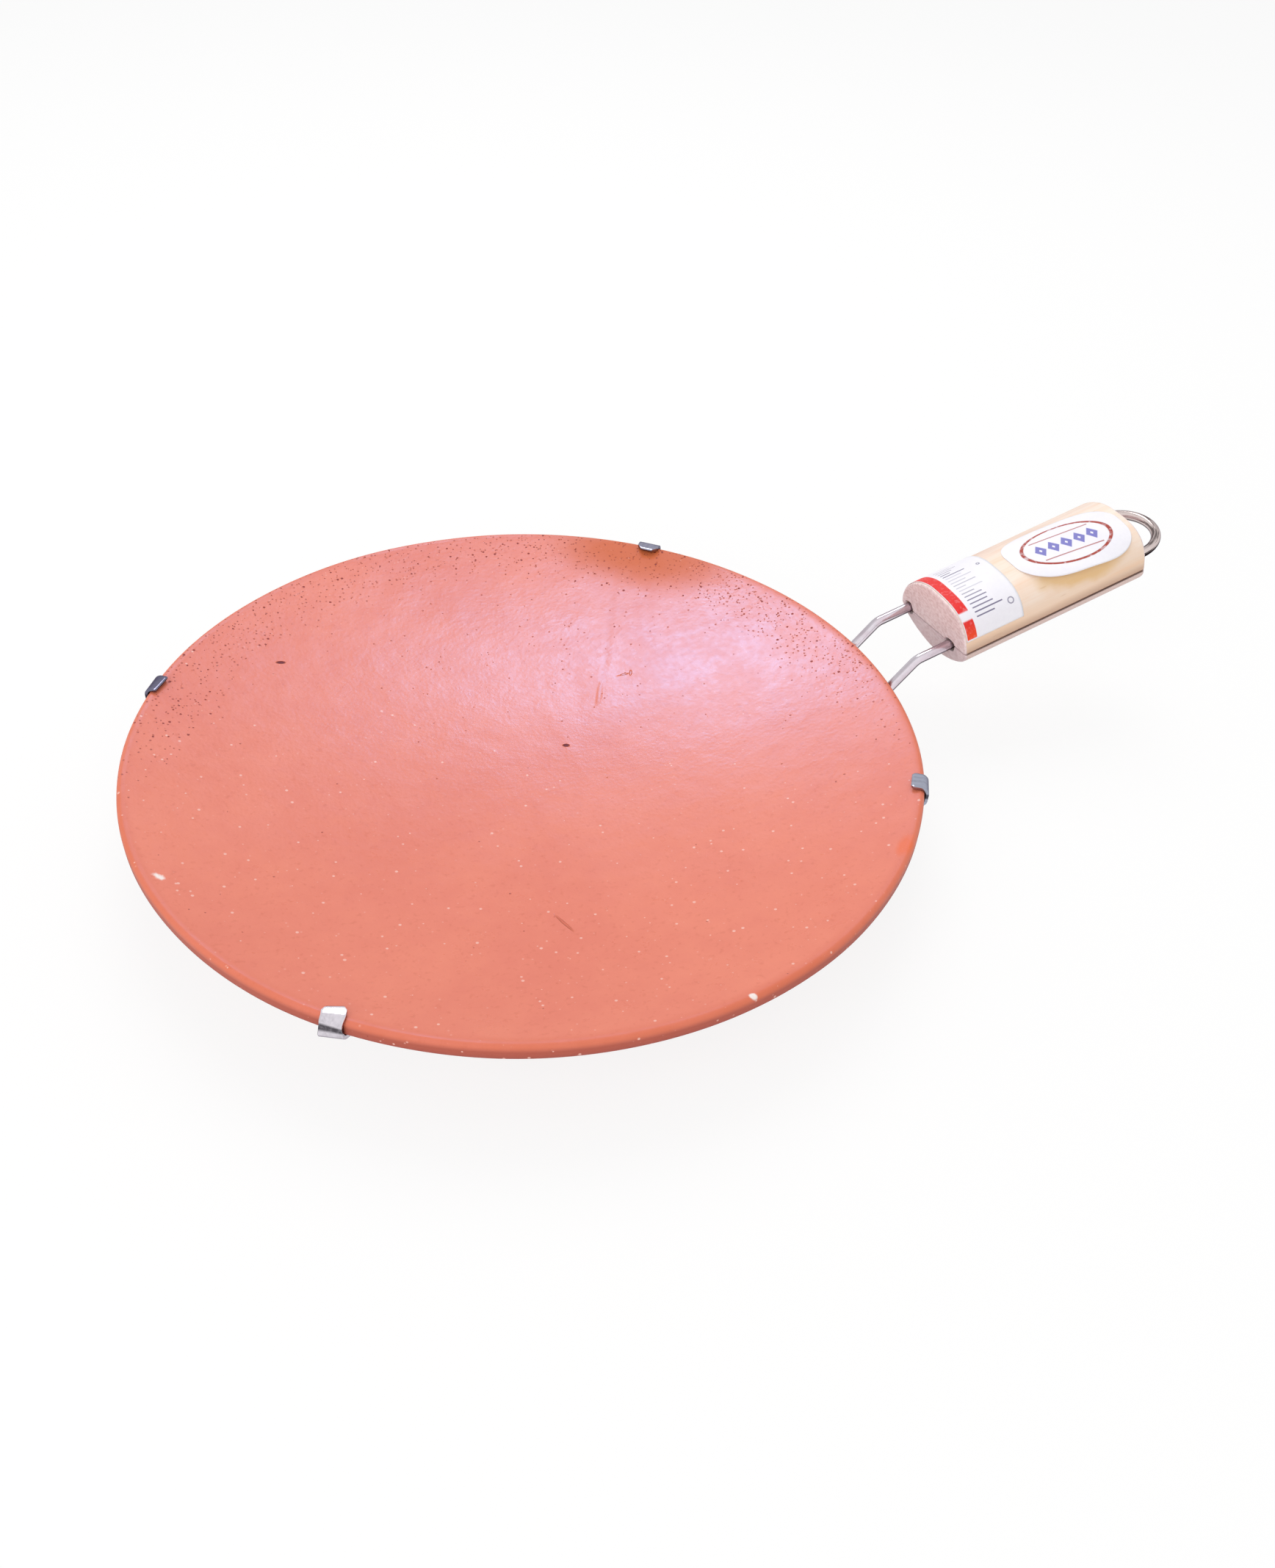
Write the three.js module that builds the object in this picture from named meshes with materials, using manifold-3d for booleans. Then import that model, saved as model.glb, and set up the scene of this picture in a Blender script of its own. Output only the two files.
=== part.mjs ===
// Clay tawa: a shallow fired-clay griddle dish, held by two crossed steel straps whose ends fold
// over the rim, with a handle of one bent steel wire. The wire's two legs lie under the dish, rise
// past the rim, run through a wooden grip made of two halves, and join in a hanging loop.
// Millimetres, +Z up, +X from the dish towards the grip. The origin is on the dish's axis, on the
// underside of the lower strap, which is what the tawa stands on.

import * as THREE from 'three';
import { mergeVertices } from 'three/addons/utils/BufferGeometryUtils.js';
import Module from 'manifold-3d';

// Clearances
const seatGap = 0.3; // between clay and steel, and under paper
const glueLine = 0.3; // between the halves of the grip
const channelClearance = 0.5; // round the wire inside the grip

// Clay dish
const dishRadius = 127;
const dishDepth = 20; // rim down to the middle of the bowl
const floorThickness = 9; // clay at the middle
const lipHeight = 5; // upright wall outside the rim
const lipRound = 1.6; // rounding of the rim's top edge
const lipUnderRound = 2; // rounding where the wall turns under
const footRadius = 50; // flat underside
const bellyRadius = 90; // where the underside's curve is fullest
const bellyRise = 8; // height of that place above the foot

// Steel straps
const strapWidth = 8;
const strapThickness = 1;
const strapRamp = 12; // length over which a strap climbs to the edge of the foot
const lowerStrapReach = [2.3, 3.6]; // how far each folded end lies over the bowl, past the rim's top line
const upperStrapReach = [1.7, 2.9];
const tabSlope = 8; // degrees, down towards the bowl
const tabCorner = 1.8; // cut off both corners of each folded end
const lowerStrapAngle = 46.5; // degrees from the grip's side
const upperStrapAngle = -33.5;
const lowerStrapShift = 1; // sideways from the dish's axis, to the left along the strap
const upperStrapShift = -1.1;
const crossingFlat = 6; // half length of the upper strap's raised middle
const crossingStep = 4; // length of the step down on each side of it

// Handle wire
const wireDiameter = 3.5;
const wireSpacing = 25.8; // between the two legs, centre to centre
const pressedThickness = 2; // where the legs are pressed flat between the straps and the foot
const pressedWidth = 4.8;
const tailPastStrap = 6; // end of a leg past its last weld
const pressedPastFoot = 4; // pressed length past the edge of the foot
const pressedFade = 6; // length over which the wire turns from flat to round
const riseAngle = 45; // degrees
const bendOutsideRim = 14; // upper bend, outwards from the rim
const bendAboveRim = 0.7;
const lowerBendRound = 9;
const upperBendRound = 6;
const gripTilt = 14.3; // degrees
const wireToGrip = 13.8; // from the upper bend to the front of the grip
const loopStraight = 6.5; // from the back of the grip to the start of the loop's round end

// Wooden grip
const gripLength = 76.5;
const gripWidth = 40;
const gripTopHeight = 17.5; // above the seam
const gripBottomHeight = 9.6; // below the seam
const gripTopFullness = [1.75, 3.2]; // towards +Y and -Y: 2 is an ellipse, more is squarer
const gripBottomFullness = [1.6, 1.7];
const gripSideShift = -2.2; // the grip sits a little to one side of the wires
const gripFrontRound = 0.8;
const gripBackRound = 3.5;

// Paper on the grip
const paperThickness = 0.3;
const labelStart = 0.9; // from the front of the grip
const labelLength = 23.4;
const labelWidth = 50.6; // across the top, measured round the wood
const stickerMiddle = 51.7; // from the front of the grip
const stickerLength = 44.4;
const stickerWidth = 26;
const stickerOffset = 7.5; // middle of the sticker from the top line, round the wood
const stickerSkew = 0.11; // it was stuck on a little askew: sideways per length
const stickerFullness = 2.9;
const stickerLift = 2.4; // height of its curled edge
const stickerLiftWidth = 8; // how much of it has come away
const stickerBluntEnds = 0.04; // share of the half turn left out at each end of its outline

// Fineness of the curved surfaces
const dishSides = 80;
const bowlStep = 10; // across the bowl's surface
const bellySteps = 9;
const underTurnSteps = 3;
const lipSteps = 4;
const wireSides = 12;
const gripArcSteps = 24; // over the top, and as many under
const endRoundSteps = 3;
const stationTurn = 9; // degrees of bend from one section of the wire to the next
const arcSamples = 400; // round the top of the grip, for laying paper on it
const labelGrid = [3, 18]; // along and round the grip
const stickerGrid = [18, 10];
const cutMargin = 2; // how far a cutting body passes what it cuts

const wasm = await Module();
wasm.setup();

const footHeight = strapThickness + pressedThickness + seatGap;
const rimHeight = footHeight + floorThickness + dishDepth;
const wireRadius = wireDiameter / 2;
const legHeight = strapThickness + pressedThickness / 2;
const radians = THREE.MathUtils.degToRad;

function steel(color, roughness) {
  return new THREE.MeshStandardMaterial({ color, roughness, metalness: 1 });
}

function plain(color, roughness) {
  return new THREE.MeshStandardMaterial({ color, roughness, metalness: 0 });
}

function toSolid(geometry) {
  const bare = geometry.clone();
  bare.deleteAttribute('normal');
  bare.deleteAttribute('uv');
  const welded = mergeVertices(bare, 1e-4);
  const mesh = new wasm.Mesh({
    numProp: 3,
    vertProperties: new Float32Array(welded.attributes.position.array),
    triVerts: new Uint32Array(welded.index.array),
  });
  mesh.merge();
  return new wasm.Manifold(mesh);
}

function toGeometry(solid) {
  const mesh = solid.getMesh();
  const geometry = new THREE.BufferGeometry();
  geometry.setAttribute('position', new THREE.BufferAttribute(mesh.vertProperties, 3));
  geometry.setIndex(new THREE.BufferAttribute(mesh.triVerts, 1));
  geometry.computeVertexNormals();
  return geometry;
}

// A closed body through a row of sections that all have the same number of points.
function loft(sections) {
  const sides = sections[0].length;
  const positions = sections.flat().flatMap((point) => point.toArray());
  const faces = [];
  for (let row = 0; row + 1 < sections.length; row += 1) {
    for (let side = 0; side < sides; side += 1) {
      const next = (side + 1) % sides;
      const near = row * sides;
      const far = near + sides;
      faces.push(near + side, near + next, far + next);
      faces.push(near + side, far + next, far + side);
    }
  }
  const last = (sections.length - 1) * sides;
  for (let side = 1; side + 1 < sides; side += 1) {
    faces.push(0, side + 1, side);
    faces.push(last, last + side, last + side + 1);
  }
  const geometry = new THREE.BufferGeometry();
  geometry.setAttribute('position', new THREE.Float32BufferAttribute(positions, 3));
  geometry.setIndex(faces);
  geometry.computeVertexNormals();
  return geometry;
}

// A line beside a flat line of points, at a distance to its right.
function beside(points, distance) {
  return points.map((point, index) => {
    const before = points[Math.max(index - 1, 0)];
    const after = points[Math.min(index + 1, points.length - 1)];
    const into = point.clone().sub(before).normalize();
    const out = after.clone().sub(point).normalize();
    const along = into.clone().add(out).normalize();
    const square = new THREE.Vector2(along.y, -along.x);
    const cosine = Math.max(along.dot(into), along.dot(out));
    return point.clone().addScaledVector(square, distance / cosine);
  });
}

function withoutRepeats(points) {
  return points.filter((point, index) => index === 0 || point.distanceTo(points[index - 1]) > 1e-3);
}

// The bowl's surface, from its middle out to the crest of the rim.
function bowlLine(fromRadius) {
  const crest = dishRadius - lipRound;
  const roundness = (crest * crest + dishDepth * dishDepth) / (2 * dishDepth);
  const middle = rimHeight - dishDepth + roundness;
  const start = Math.asin(fromRadius / roundness) - Math.PI / 2;
  const end = Math.asin(crest / roundness) - Math.PI / 2;
  const steps = Math.max(2, Math.round((crest - fromRadius) / bowlStep));
  return new THREE.ArcCurve(0, middle, roundness, start, end, false).getPoints(steps);
}

// The outside of the clay, from the edge of the foot to the crest of the rim.
function outsideLine() {
  const footEdge = new THREE.Vector2(footRadius, footHeight);
  const fullest = new THREE.Vector2(bellyRadius, footHeight + bellyRise);
  const corner = new THREE.Vector2(dishRadius, rimHeight - lipHeight);
  const turnStart = corner.clone().lerp(fullest, lipUnderRound / corner.distanceTo(fullest));
  const turnEnd = new THREE.Vector2(dishRadius, corner.y + lipUnderRound / 2);
  const belly = new THREE.QuadraticBezierCurve(footEdge, fullest, turnStart);
  const turn = new THREE.QuadraticBezierCurve(turnStart, corner, turnEnd);
  const top = rimHeight - lipRound;
  const lip = new THREE.ArcCurve(dishRadius - lipRound, top, lipRound, 0, Math.PI / 2, false);
  const under = [...belly.getPoints(bellySteps), ...turn.getPoints(underTurnSteps)];
  return withoutRepeats([...under, ...lip.getPoints(lipSteps)]);
}

function clayDish() {
  const outside = [new THREE.Vector2(0, footHeight), ...outsideLine()];
  const profile = withoutRepeats([...outside, ...bowlLine(0).reverse()]);
  profile[profile.length - 1].x = 0;
  const turned = new THREE.LatheGeometry(profile, dishSides);
  turned.rotateX(Math.PI / 2);
  return toGeometry(toSolid(turned));
}

// Half of a strap's middle line, from the crossing to the folded end over the rim.
function halfStrapLine(raised, reach) {
  const flat = strapThickness / 2;
  const onClay = beside(outsideLine(), seatGap + strapThickness / 2);
  const slope = radians(tabSlope);
  const tab = new THREE.Vector2(-Math.cos(slope), -Math.sin(slope)).multiplyScalar(reach);
  const line = [new THREE.Vector2(0, flat + (raised ? strapThickness : 0))];
  if (raised) {
    line.push(new THREE.Vector2(crossingFlat, flat + strapThickness));
    line.push(new THREE.Vector2(crossingFlat + crossingStep, flat));
  }
  line.push(new THREE.Vector2(footRadius - strapRamp, flat));
  return [...line, ...onClay, tab.add(onClay[onClay.length - 1])];
}

// A wedge that takes one corner off a folded end, at a place given along and across the strap.
function cornerWedge(along, across) {
  const inwards = -Math.sign(along);
  const sideways = Math.sign(across);
  const size = tabCorner + cutMargin;
  const corner = new THREE.Vector2(along + inwards * cutMargin, across + sideways * cutMargin);
  const wedge = new THREE.Shape([
    corner,
    corner.clone().sub(new THREE.Vector2(inwards * (size + cutMargin), 0)),
    corner.clone().sub(new THREE.Vector2(0, sideways * (size + cutMargin))),
  ]);
  const cut = new THREE.ExtrudeGeometry(wedge, { depth: 3 * cutMargin, bevelEnabled: false });
  cut.translate(0, 0, rimHeight - cutMargin);
  return toSolid(cut);
}

function strap(raised, reaches) {
  const [far, half] = reaches.map((reach) => halfStrapLine(raised, reach));
  const mirrored = far.slice(1).reverse().map((point) => new THREE.Vector2(-point.x, point.y));
  const line = [...mirrored, ...half];
  const under = beside(line, strapThickness / 2);
  const over = beside(line, -strapThickness / 2);
  const outline = new THREE.Shape([...under, ...over.reverse()]);
  const bar = new THREE.ExtrudeGeometry(outline, { depth: strapWidth, bevelEnabled: false });
  bar.rotateX(Math.PI / 2);
  bar.translate(0, strapWidth / 2, 0);
  let solid = toSolid(bar);
  for (const end of [line[0], line[line.length - 1]]) {
    for (const side of [-strapWidth / 2, strapWidth / 2]) {
      solid = solid.subtract(cornerWedge(end.x, side));
    }
  }
  return toGeometry(solid);
}

// Places on the handle wire: the upper bend, and the front of the grip on the wires' level.
const tilt = radians(gripTilt);
const alongGrip = new THREE.Vector3(Math.cos(tilt), 0, Math.sin(tilt));
const offGrip = new THREE.Vector3(-Math.sin(tilt), 0, Math.cos(tilt));
const upperBend = new THREE.Vector3(dishRadius + bendOutsideRim, 0, rimHeight + bendAboveRim);
const gripFront = upperBend.clone().addScaledVector(alongGrip, wireToGrip);

// One section of the wire: round, or pressed flat with round edges.
function wireSection(station) {
  const { centre, along, off, halfWidth, halfHeight } = station;
  const side = new THREE.Vector3().crossVectors(off, along);
  const flats = Math.cos(Math.PI / wireSides);
  const points = [];
  for (let corner = 0; corner < wireSides; corner += 1) {
    const angle = ((corner + 0.5) * 2 * Math.PI) / wireSides - Math.PI / 2; // flat above and below
    const across = Math.cos(angle);
    const reach = Math.sign(across) * (halfWidth - halfHeight) + (halfHeight * across) / flats;
    const point = centre.clone().addScaledVector(side, reach);
    points.push(point.addScaledVector(off, (halfHeight * Math.sin(angle)) / flats));
  }
  return points;
}

// Stations round a bend in the legs' upright plane, from one slope to the next.
function legBend(corner, bendRound, fromSlope, toSlope) {
  const turn = toSlope - fromSlope;
  const setback = bendRound * Math.tan(Math.abs(turn) / 2);
  const sign = Math.sign(turn);
  const start = corner.clone();
  start.x -= setback * Math.cos(fromSlope);
  start.z -= setback * Math.sin(fromSlope);
  const middle = start.clone();
  middle.x -= sign * bendRound * Math.sin(fromSlope);
  middle.z += sign * bendRound * Math.cos(fromSlope);
  const steps = Math.ceil(Math.abs(turn) / radians(stationTurn));
  const stations = [];
  for (let step = 0; step <= steps; step += 1) {
    const slope = fromSlope + (turn * step) / steps;
    const centre = middle.clone();
    centre.x += sign * bendRound * Math.sin(slope);
    centre.z -= sign * bendRound * Math.cos(slope);
    stations.push(roundStation(centre, slope));
  }
  return stations;
}

function roundStation(centre, slope) {
  return {
    centre,
    along: new THREE.Vector3(Math.cos(slope), 0, Math.sin(slope)),
    off: new THREE.Vector3(-Math.sin(slope), 0, Math.cos(slope)),
    halfWidth: wireRadius,
    halfHeight: wireRadius,
  };
}

function pressedStation(x) {
  const station = roundStation(new THREE.Vector3(x, 0, legHeight), 0);
  station.halfWidth = pressedWidth / 2;
  station.halfHeight = pressedThickness / 2;
  return station;
}

// One leg on the middle plane, from its pressed end to the front of the grip.
function legStations() {
  const crossings = [lowerStrapAngle, upperStrapAngle].map((angle) =>
    Math.abs(wireSpacing / 2 / Math.tan(radians(angle))),
  );
  const tail = -Math.max(...crossings) - tailPastStrap;
  const flatEnd = footRadius + pressedPastFoot;
  const climb = upperBend.z - legHeight;
  const lowerBend = new THREE.Vector3(upperBend.x - climb / Math.tan(radians(riseAngle)), 0, legHeight);
  return [
    pressedStation(tail),
    pressedStation(flatEnd),
    roundStation(new THREE.Vector3(flatEnd + pressedFade, 0, legHeight), 0),
    ...legBend(lowerBend, lowerBendRound, 0, radians(riseAngle)),
    ...legBend(upperBend, upperBendRound, radians(riseAngle), tilt),
  ];
}

// The round end of the hanging loop, in the grip's own sloping plane.
function loopStations() {
  const reach = gripLength + loopStraight;
  const middle = gripFront.clone().addScaledVector(alongGrip, reach);
  const sideways = new THREE.Vector3(0, 1, 0);
  const steps = Math.ceil(180 / stationTurn);
  const stations = [];
  for (let step = 0; step <= steps; step += 1) {
    const angle = (Math.PI * step) / steps - Math.PI / 2;
    const spoke = sideways.clone().multiplyScalar(Math.sin(angle));
    spoke.addScaledVector(alongGrip, Math.cos(angle));
    const station = roundStation(middle.clone().addScaledVector(spoke, wireSpacing / 2), tilt);
    station.along = new THREE.Vector3().crossVectors(offGrip, spoke);
    stations.push(station);
  }
  return stations;
}

function moved(station, y, backwards) {
  const centre = station.centre.clone();
  centre.y = y;
  const along = station.along.clone().multiplyScalar(backwards ? -1 : 1);
  return { ...station, centre, along };
}

function handleWire() {
  const leg = legStations();
  const out = leg.map((station) => moved(station, -wireSpacing / 2, false));
  const back = leg.map((station) => moved(station, wireSpacing / 2, true)).reverse();
  const stations = [...out, ...loopStations(), ...back];
  return loft(stations.map(wireSection));
}

// A place on the grip's outside, seen along it: the angle runs from +Y over the top. An inset makes
// the section smaller all round.
function gripPlace(angle, inset) {
  const above = Math.sin(angle) > 0;
  const height = (above ? gripTopHeight : gripBottomHeight) - inset;
  const fullness = above ? gripTopFullness : gripBottomFullness;
  const power = 2 / fullness[Math.cos(angle) > 0 ? 0 : 1];
  const across = Math.sign(Math.cos(angle)) * Math.abs(Math.cos(angle)) ** power;
  const upwards = Math.sign(Math.sin(angle)) * Math.abs(Math.sin(angle)) ** power;
  return new THREE.Vector2(across * (gripWidth / 2 - inset) + gripSideShift, upwards * height);
}

function gripOutline(inset) {
  const places = gripArcSteps * 2;
  return Array.from({ length: places }, (_, step) => gripPlace((Math.PI * step) / gripArcSteps, inset));
}

// Places along a rounded end: how far in from the end, and how much smaller the section is there.
function endRounding(round) {
  return Array.from({ length: endRoundSteps + 1 }, (_, step) => {
    const angle = (Math.PI / 2) * (step / endRoundSteps);
    return { fromEnd: round * (1 - Math.cos(angle)), inset: round * (1 - Math.sin(angle)) };
  });
}

function gripBlank() {
  const front = endRounding(gripFrontRound).map(({ fromEnd, inset }) => [fromEnd, inset]);
  const back = endRounding(gripBackRound).map(({ fromEnd, inset }) => [gripLength - fromEnd, inset]);
  const sections = [...front, ...back.reverse()].map(([x, inset]) =>
    gripOutline(inset).map((point) => new THREE.Vector3(x, point.x, point.y)),
  );
  return toSolid(loft(sections));
}

function wireChannel(y) {
  const radius = wireRadius + channelClearance;
  const length = gripLength + 2 * cutMargin;
  const rod = new THREE.CylinderGeometry(radius, radius, length, wireSides);
  rod.rotateZ(Math.PI / 2);
  rod.translate(gripLength / 2, y, 0);
  return toSolid(rod);
}

function gripHalf(above) {
  const height = (above ? gripTopHeight : gripBottomHeight) + cutMargin;
  const side = new THREE.BoxGeometry(gripLength + 2 * cutMargin, gripWidth + 2 * cutMargin, height);
  const middle = (height + glueLine) / 2;
  side.translate(gripLength / 2, gripSideShift, above ? middle : -middle);
  let half = gripBlank().intersect(toSolid(side));
  for (const y of [-wireSpacing / 2, wireSpacing / 2]) {
    half = half.subtract(wireChannel(y));
  }
  return toGeometry(half);
}

// The top of the grip as a line that can be walked: from its top line, a distance round the wood
// towards -Y gives a place and an outward direction.
const topArc = Array.from({ length: arcSamples + 1 }, (_, index) =>
  gripPlace((Math.PI * index) / arcSamples, 0),
);

function roundTheWood(distance) {
  let walked = 0;
  let index = arcSamples / 2;
  const step = distance < 0 ? -1 : 1;
  let next = topArc[index].distanceTo(topArc[index + step]);
  while (walked + next < Math.abs(distance)) {
    walked += next;
    index += step;
    next = topArc[index].distanceTo(topArc[index + step]);
  }
  const share = (Math.abs(distance) - walked) / next;
  const place = topArc[index].clone().lerp(topArc[index + step], share);
  const along = topArc[index + step].clone().sub(topArc[index]).multiplyScalar(step).normalize();
  return { place, out: new THREE.Vector2(along.y, -along.x) };
}

// Paper on the wood. sheetAt gives, for two shares of its length and width, the distance from the
// grip's front, the distance round the wood and how far the paper stands off.
function paper([columns, rows], sheetAt) {
  const sections = [];
  for (let column = 0; column <= columns; column += 1) {
    const under = [];
    const over = [];
    for (let row = 0; row <= rows; row += 1) {
      const [x, distance, lift] = sheetAt(column / columns, row / rows);
      const { place, out } = roundTheWood(distance);
      const low = place.clone().addScaledVector(out, seatGap + lift);
      const high = low.clone().addScaledVector(out, paperThickness);
      under.push(new THREE.Vector3(x, low.x, low.y));
      over.push(new THREE.Vector3(x, high.x, high.y));
    }
    sections.push([...over, ...under.reverse()]);
  }
  return toGeometry(toSolid(sheetLoft(sections, rows)));
}

// A loft whose two ends are strips: each end is closed between its lower and upper edge.
function sheetLoft(sections, rows) {
  const geometry = loft(sections);
  const sides = sections[0].length;
  const capFaces = (sides - 2) * 2 * 3;
  const faces = Array.from(geometry.index.array).slice(0, -capFaces);
  const last = (sections.length - 1) * sides;
  for (let row = 0; row < rows; row += 1) {
    const over = [row, row + 1];
    const under = [sides - 1 - row, sides - 2 - row];
    faces.push(over[0], under[1], over[1], over[0], under[0], under[1]);
    faces.push(last + over[0], last + over[1], last + under[1]);
    faces.push(last + over[0], last + under[1], last + under[0]);
  }
  geometry.setIndex(faces);
  return geometry;
}

function frontLabel() {
  const around = labelWidth / 2;
  return paper(labelGrid, (alongShare, aroundShare) => [
    labelStart + labelLength * alongShare,
    around * (2 * aroundShare - 1),
    0,
  ]);
}

function ovalSticker() {
  return paper(stickerGrid, (alongShare, aroundShare) => {
    const turn = stickerBluntEnds + (1 - 2 * stickerBluntEnds) * alongShare;
    const along = -Math.cos(Math.PI * turn);
    const half = (stickerWidth / 2) * (1 - Math.abs(along) ** stickerFullness) ** (1 / stickerFullness);
    const middle = stickerOffset + stickerSkew * (stickerLength / 2) * along;
    const distance = middle + half * (2 * aroundShare - 1);
    const edge = middle + stickerWidth / 2 - stickerLiftWidth;
    const loose = THREE.MathUtils.clamp((distance - edge) / stickerLiftWidth, 0, 1);
    return [stickerMiddle + (stickerLength / 2) * along, distance, stickerLift * loose * loose];
  });
}

function piece(name, geometry, material) {
  const mesh = new THREE.Mesh(geometry, material);
  mesh.name = name;
  return mesh;
}

const tawa = new THREE.Group();

tawa.add(piece('clay_dish', clayDish(), plain(0xe08a70, 0.75)));

const lowerStrap = piece('strap_lower', strap(false, lowerStrapReach), steel(0xb9bcc2, 0.25));
lowerStrap.rotation.z = radians(lowerStrapAngle);
lowerStrap.translateY(lowerStrapShift);
const upperStrap = piece('strap_upper', strap(true, upperStrapReach), steel(0xb4b8bf, 0.25));
upperStrap.rotation.z = radians(upperStrapAngle);
upperStrap.translateY(upperStrapShift);
tawa.add(lowerStrap, upperStrap);

tawa.add(piece('handle_wire', handleWire(), steel(0xc4c4c6, 0.2)));

const grip = new THREE.Group();
grip.position.copy(gripFront);
grip.rotation.y = -tilt;
grip.add(piece('grip_top', gripHalf(true), plain(0xeccfaa, 0.6)));
grip.add(piece('grip_bottom', gripHalf(false), plain(0xe2c2a0, 0.65)));
grip.add(piece('front_label', frontLabel(), plain(0xf4f1f6, 0.5)));
grip.add(piece('oval_sticker', ovalSticker(), plain(0xf8f6fa, 0.45)));
tawa.add(grip);

export default tawa;
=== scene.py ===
# Clay tawa dressed for its photograph: a fired clay dish in two folded steel straps, a bent wire
# handle and a wooden grip with two papers on it. Metres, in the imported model's frame: Z up, X from
# the dish towards the grip.
import math
from functools import partial
from itertools import accumulate

import bmesh
import bpy
from mathutils import Matrix, Vector, noise
from mathutils.geometry import interpolate_bezier


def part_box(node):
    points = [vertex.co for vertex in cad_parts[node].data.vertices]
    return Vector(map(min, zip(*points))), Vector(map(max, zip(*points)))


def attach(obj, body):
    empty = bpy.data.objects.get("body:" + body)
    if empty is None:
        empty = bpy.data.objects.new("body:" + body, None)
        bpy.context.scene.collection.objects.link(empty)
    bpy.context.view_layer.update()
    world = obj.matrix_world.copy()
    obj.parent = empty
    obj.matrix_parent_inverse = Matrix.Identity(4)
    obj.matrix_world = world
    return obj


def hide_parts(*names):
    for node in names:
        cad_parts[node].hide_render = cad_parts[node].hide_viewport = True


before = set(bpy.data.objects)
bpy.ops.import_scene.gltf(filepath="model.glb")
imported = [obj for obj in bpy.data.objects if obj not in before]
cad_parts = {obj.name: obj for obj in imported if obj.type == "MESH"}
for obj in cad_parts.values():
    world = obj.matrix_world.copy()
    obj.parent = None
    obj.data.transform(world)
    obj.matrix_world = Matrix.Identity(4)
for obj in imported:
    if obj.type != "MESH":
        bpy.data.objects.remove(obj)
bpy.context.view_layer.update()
mm = 0.001
print("frame loaded:", len(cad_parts), "nodes")


# Small helpers for meshes

def meshFrom(name, bm):
    mesh = bpy.data.meshes.new(name)
    bm.to_mesh(mesh)
    bm.free()
    return mesh


def show(name, data):
    made = bpy.data.objects.new(name, data)
    bpy.context.scene.collection.objects.link(made)
    return made


def finishPiece(name, bm, material, node=None, sharpAngle=40):
    mesh = meshFrom(name, bm)
    mesh.materials.append(material)
    for polygon in mesh.polygons:
        polygon.use_smooth = True
    mesh.set_sharp_from_angle(angle=math.radians(sharpAngle))
    piece = show(name, mesh)
    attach(piece, "root")
    if node:
        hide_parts(node)
    print("made", name, len(mesh.polygons), "faces")
    return piece


def thicken(piece, thickness, offset):
    wall = piece.modifiers.new("thickness", "SOLIDIFY")
    wall.thickness = thickness
    wall.offset = offset
    return wall


def soften(piece, width, angle):
    soft = piece.modifiers.new("edges", "BEVEL")
    soft.width = width
    soft.segments = 2
    soft.limit_method = "ANGLE"
    soft.angle_limit = math.radians(angle)


def extrudeTo(bm, vert, place):
    made = bmesh.ops.extrude_vert_indiv(bm, verts=[vert])["verts"][0]
    made.co = place
    return made


def only(kind, items):
    return [item for item in items if isinstance(item, kind)]


def beside(line, distance):
    # the same flat line, moved to its right
    moved = []
    for index, point in enumerate(line):
        into = point - line[max(index - 1, 0)]
        out = line[min(index + 1, len(line) - 1)] - point
        into, out = (into or out).normalized(), (out or into).normalized()
        along = (into + out).normalized()
        square = Vector((along.y, -along.x))
        moved.append(point + square * distance / max(along.dot(into), along.dot(out)))
    return moved


def distances(line):
    # how far along the line each of its points is
    return [0.0, *accumulate((after - before).length for before, after in zip(line, line[1:]))]


def smoothRise(value, low, high):
    share = min(max((value - low) / (high - low), 0), 1)
    return share * share * (3 - 2 * share)


# Small helpers for materials

def colour(red, green, blue):
    # a colour as a painter reads it off a screen, made linear
    def linear(value):
        share = value / 255
        return share / 12.92 if share <= 0.04045 else ((share + 0.055) / 1.055) ** 2.4
    return (linear(red), linear(green), linear(blue), 1)


def isSocket(value):
    return isinstance(value, bpy.types.NodeSocket)


def fill(node, inputs):
    for name, value in inputs.items():
        if isSocket(value):
            value.id_data.links.new(value, node.inputs[name])
        else:
            node.inputs[name].default_value = value


def put(kind, inputs, tree=None, **settings):
    # a new node, in the tree that its inputs come from
    made = (tree or next(filter(isSocket, inputs.values())).id_data).nodes.new(kind)
    for name, value in settings.items():
        setattr(made, name, value)
    fill(made, inputs)
    return made


def maths(operation, first, *others):
    for other in others or [0.0]:
        first = put("ShaderNodeMath", {0: first, 1: other}, operation=operation).outputs[0]
    return first


plus = partial(maths, "ADD")
minus = partial(maths, "SUBTRACT")
times = partial(maths, "MULTIPLY")
over = partial(maths, "DIVIDE")
larger = partial(maths, "MAXIMUM")
sizeOf = partial(maths, "ABSOLUTE")


def vectors(operation, first, second=(0, 0, 0)):
    made = put("ShaderNodeVectorMath", {0: first, 1: second}, operation=operation)
    return made.outputs["Value" if operation in ("LENGTH", "DOT_PRODUCT") else "Vector"]


def stretch(vector, *factors):
    return vectors("MULTIPLY", vector, factors)


def axes(vector):
    return put("ShaderNodeSeparateXYZ", {0: vector}).outputs


def rise(value, low, high, start=0.0, end=1.0):
    inputs = {"Value": value, "From Min": low, "From Max": high, "To Min": start, "To Max": end}
    return put("ShaderNodeMapRange", inputs, interpolation_type="SMOOTHSTEP").outputs["Result"]


def between(value, low, high, soft):
    return times(rise(value, low - soft, low + soft), rise(value, high + soft, high - soft))


def tint(share, first, second):
    return put("ShaderNodeMix", {0: share, 6: first, 7: second}, data_type="RGBA").outputs[2]


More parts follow.
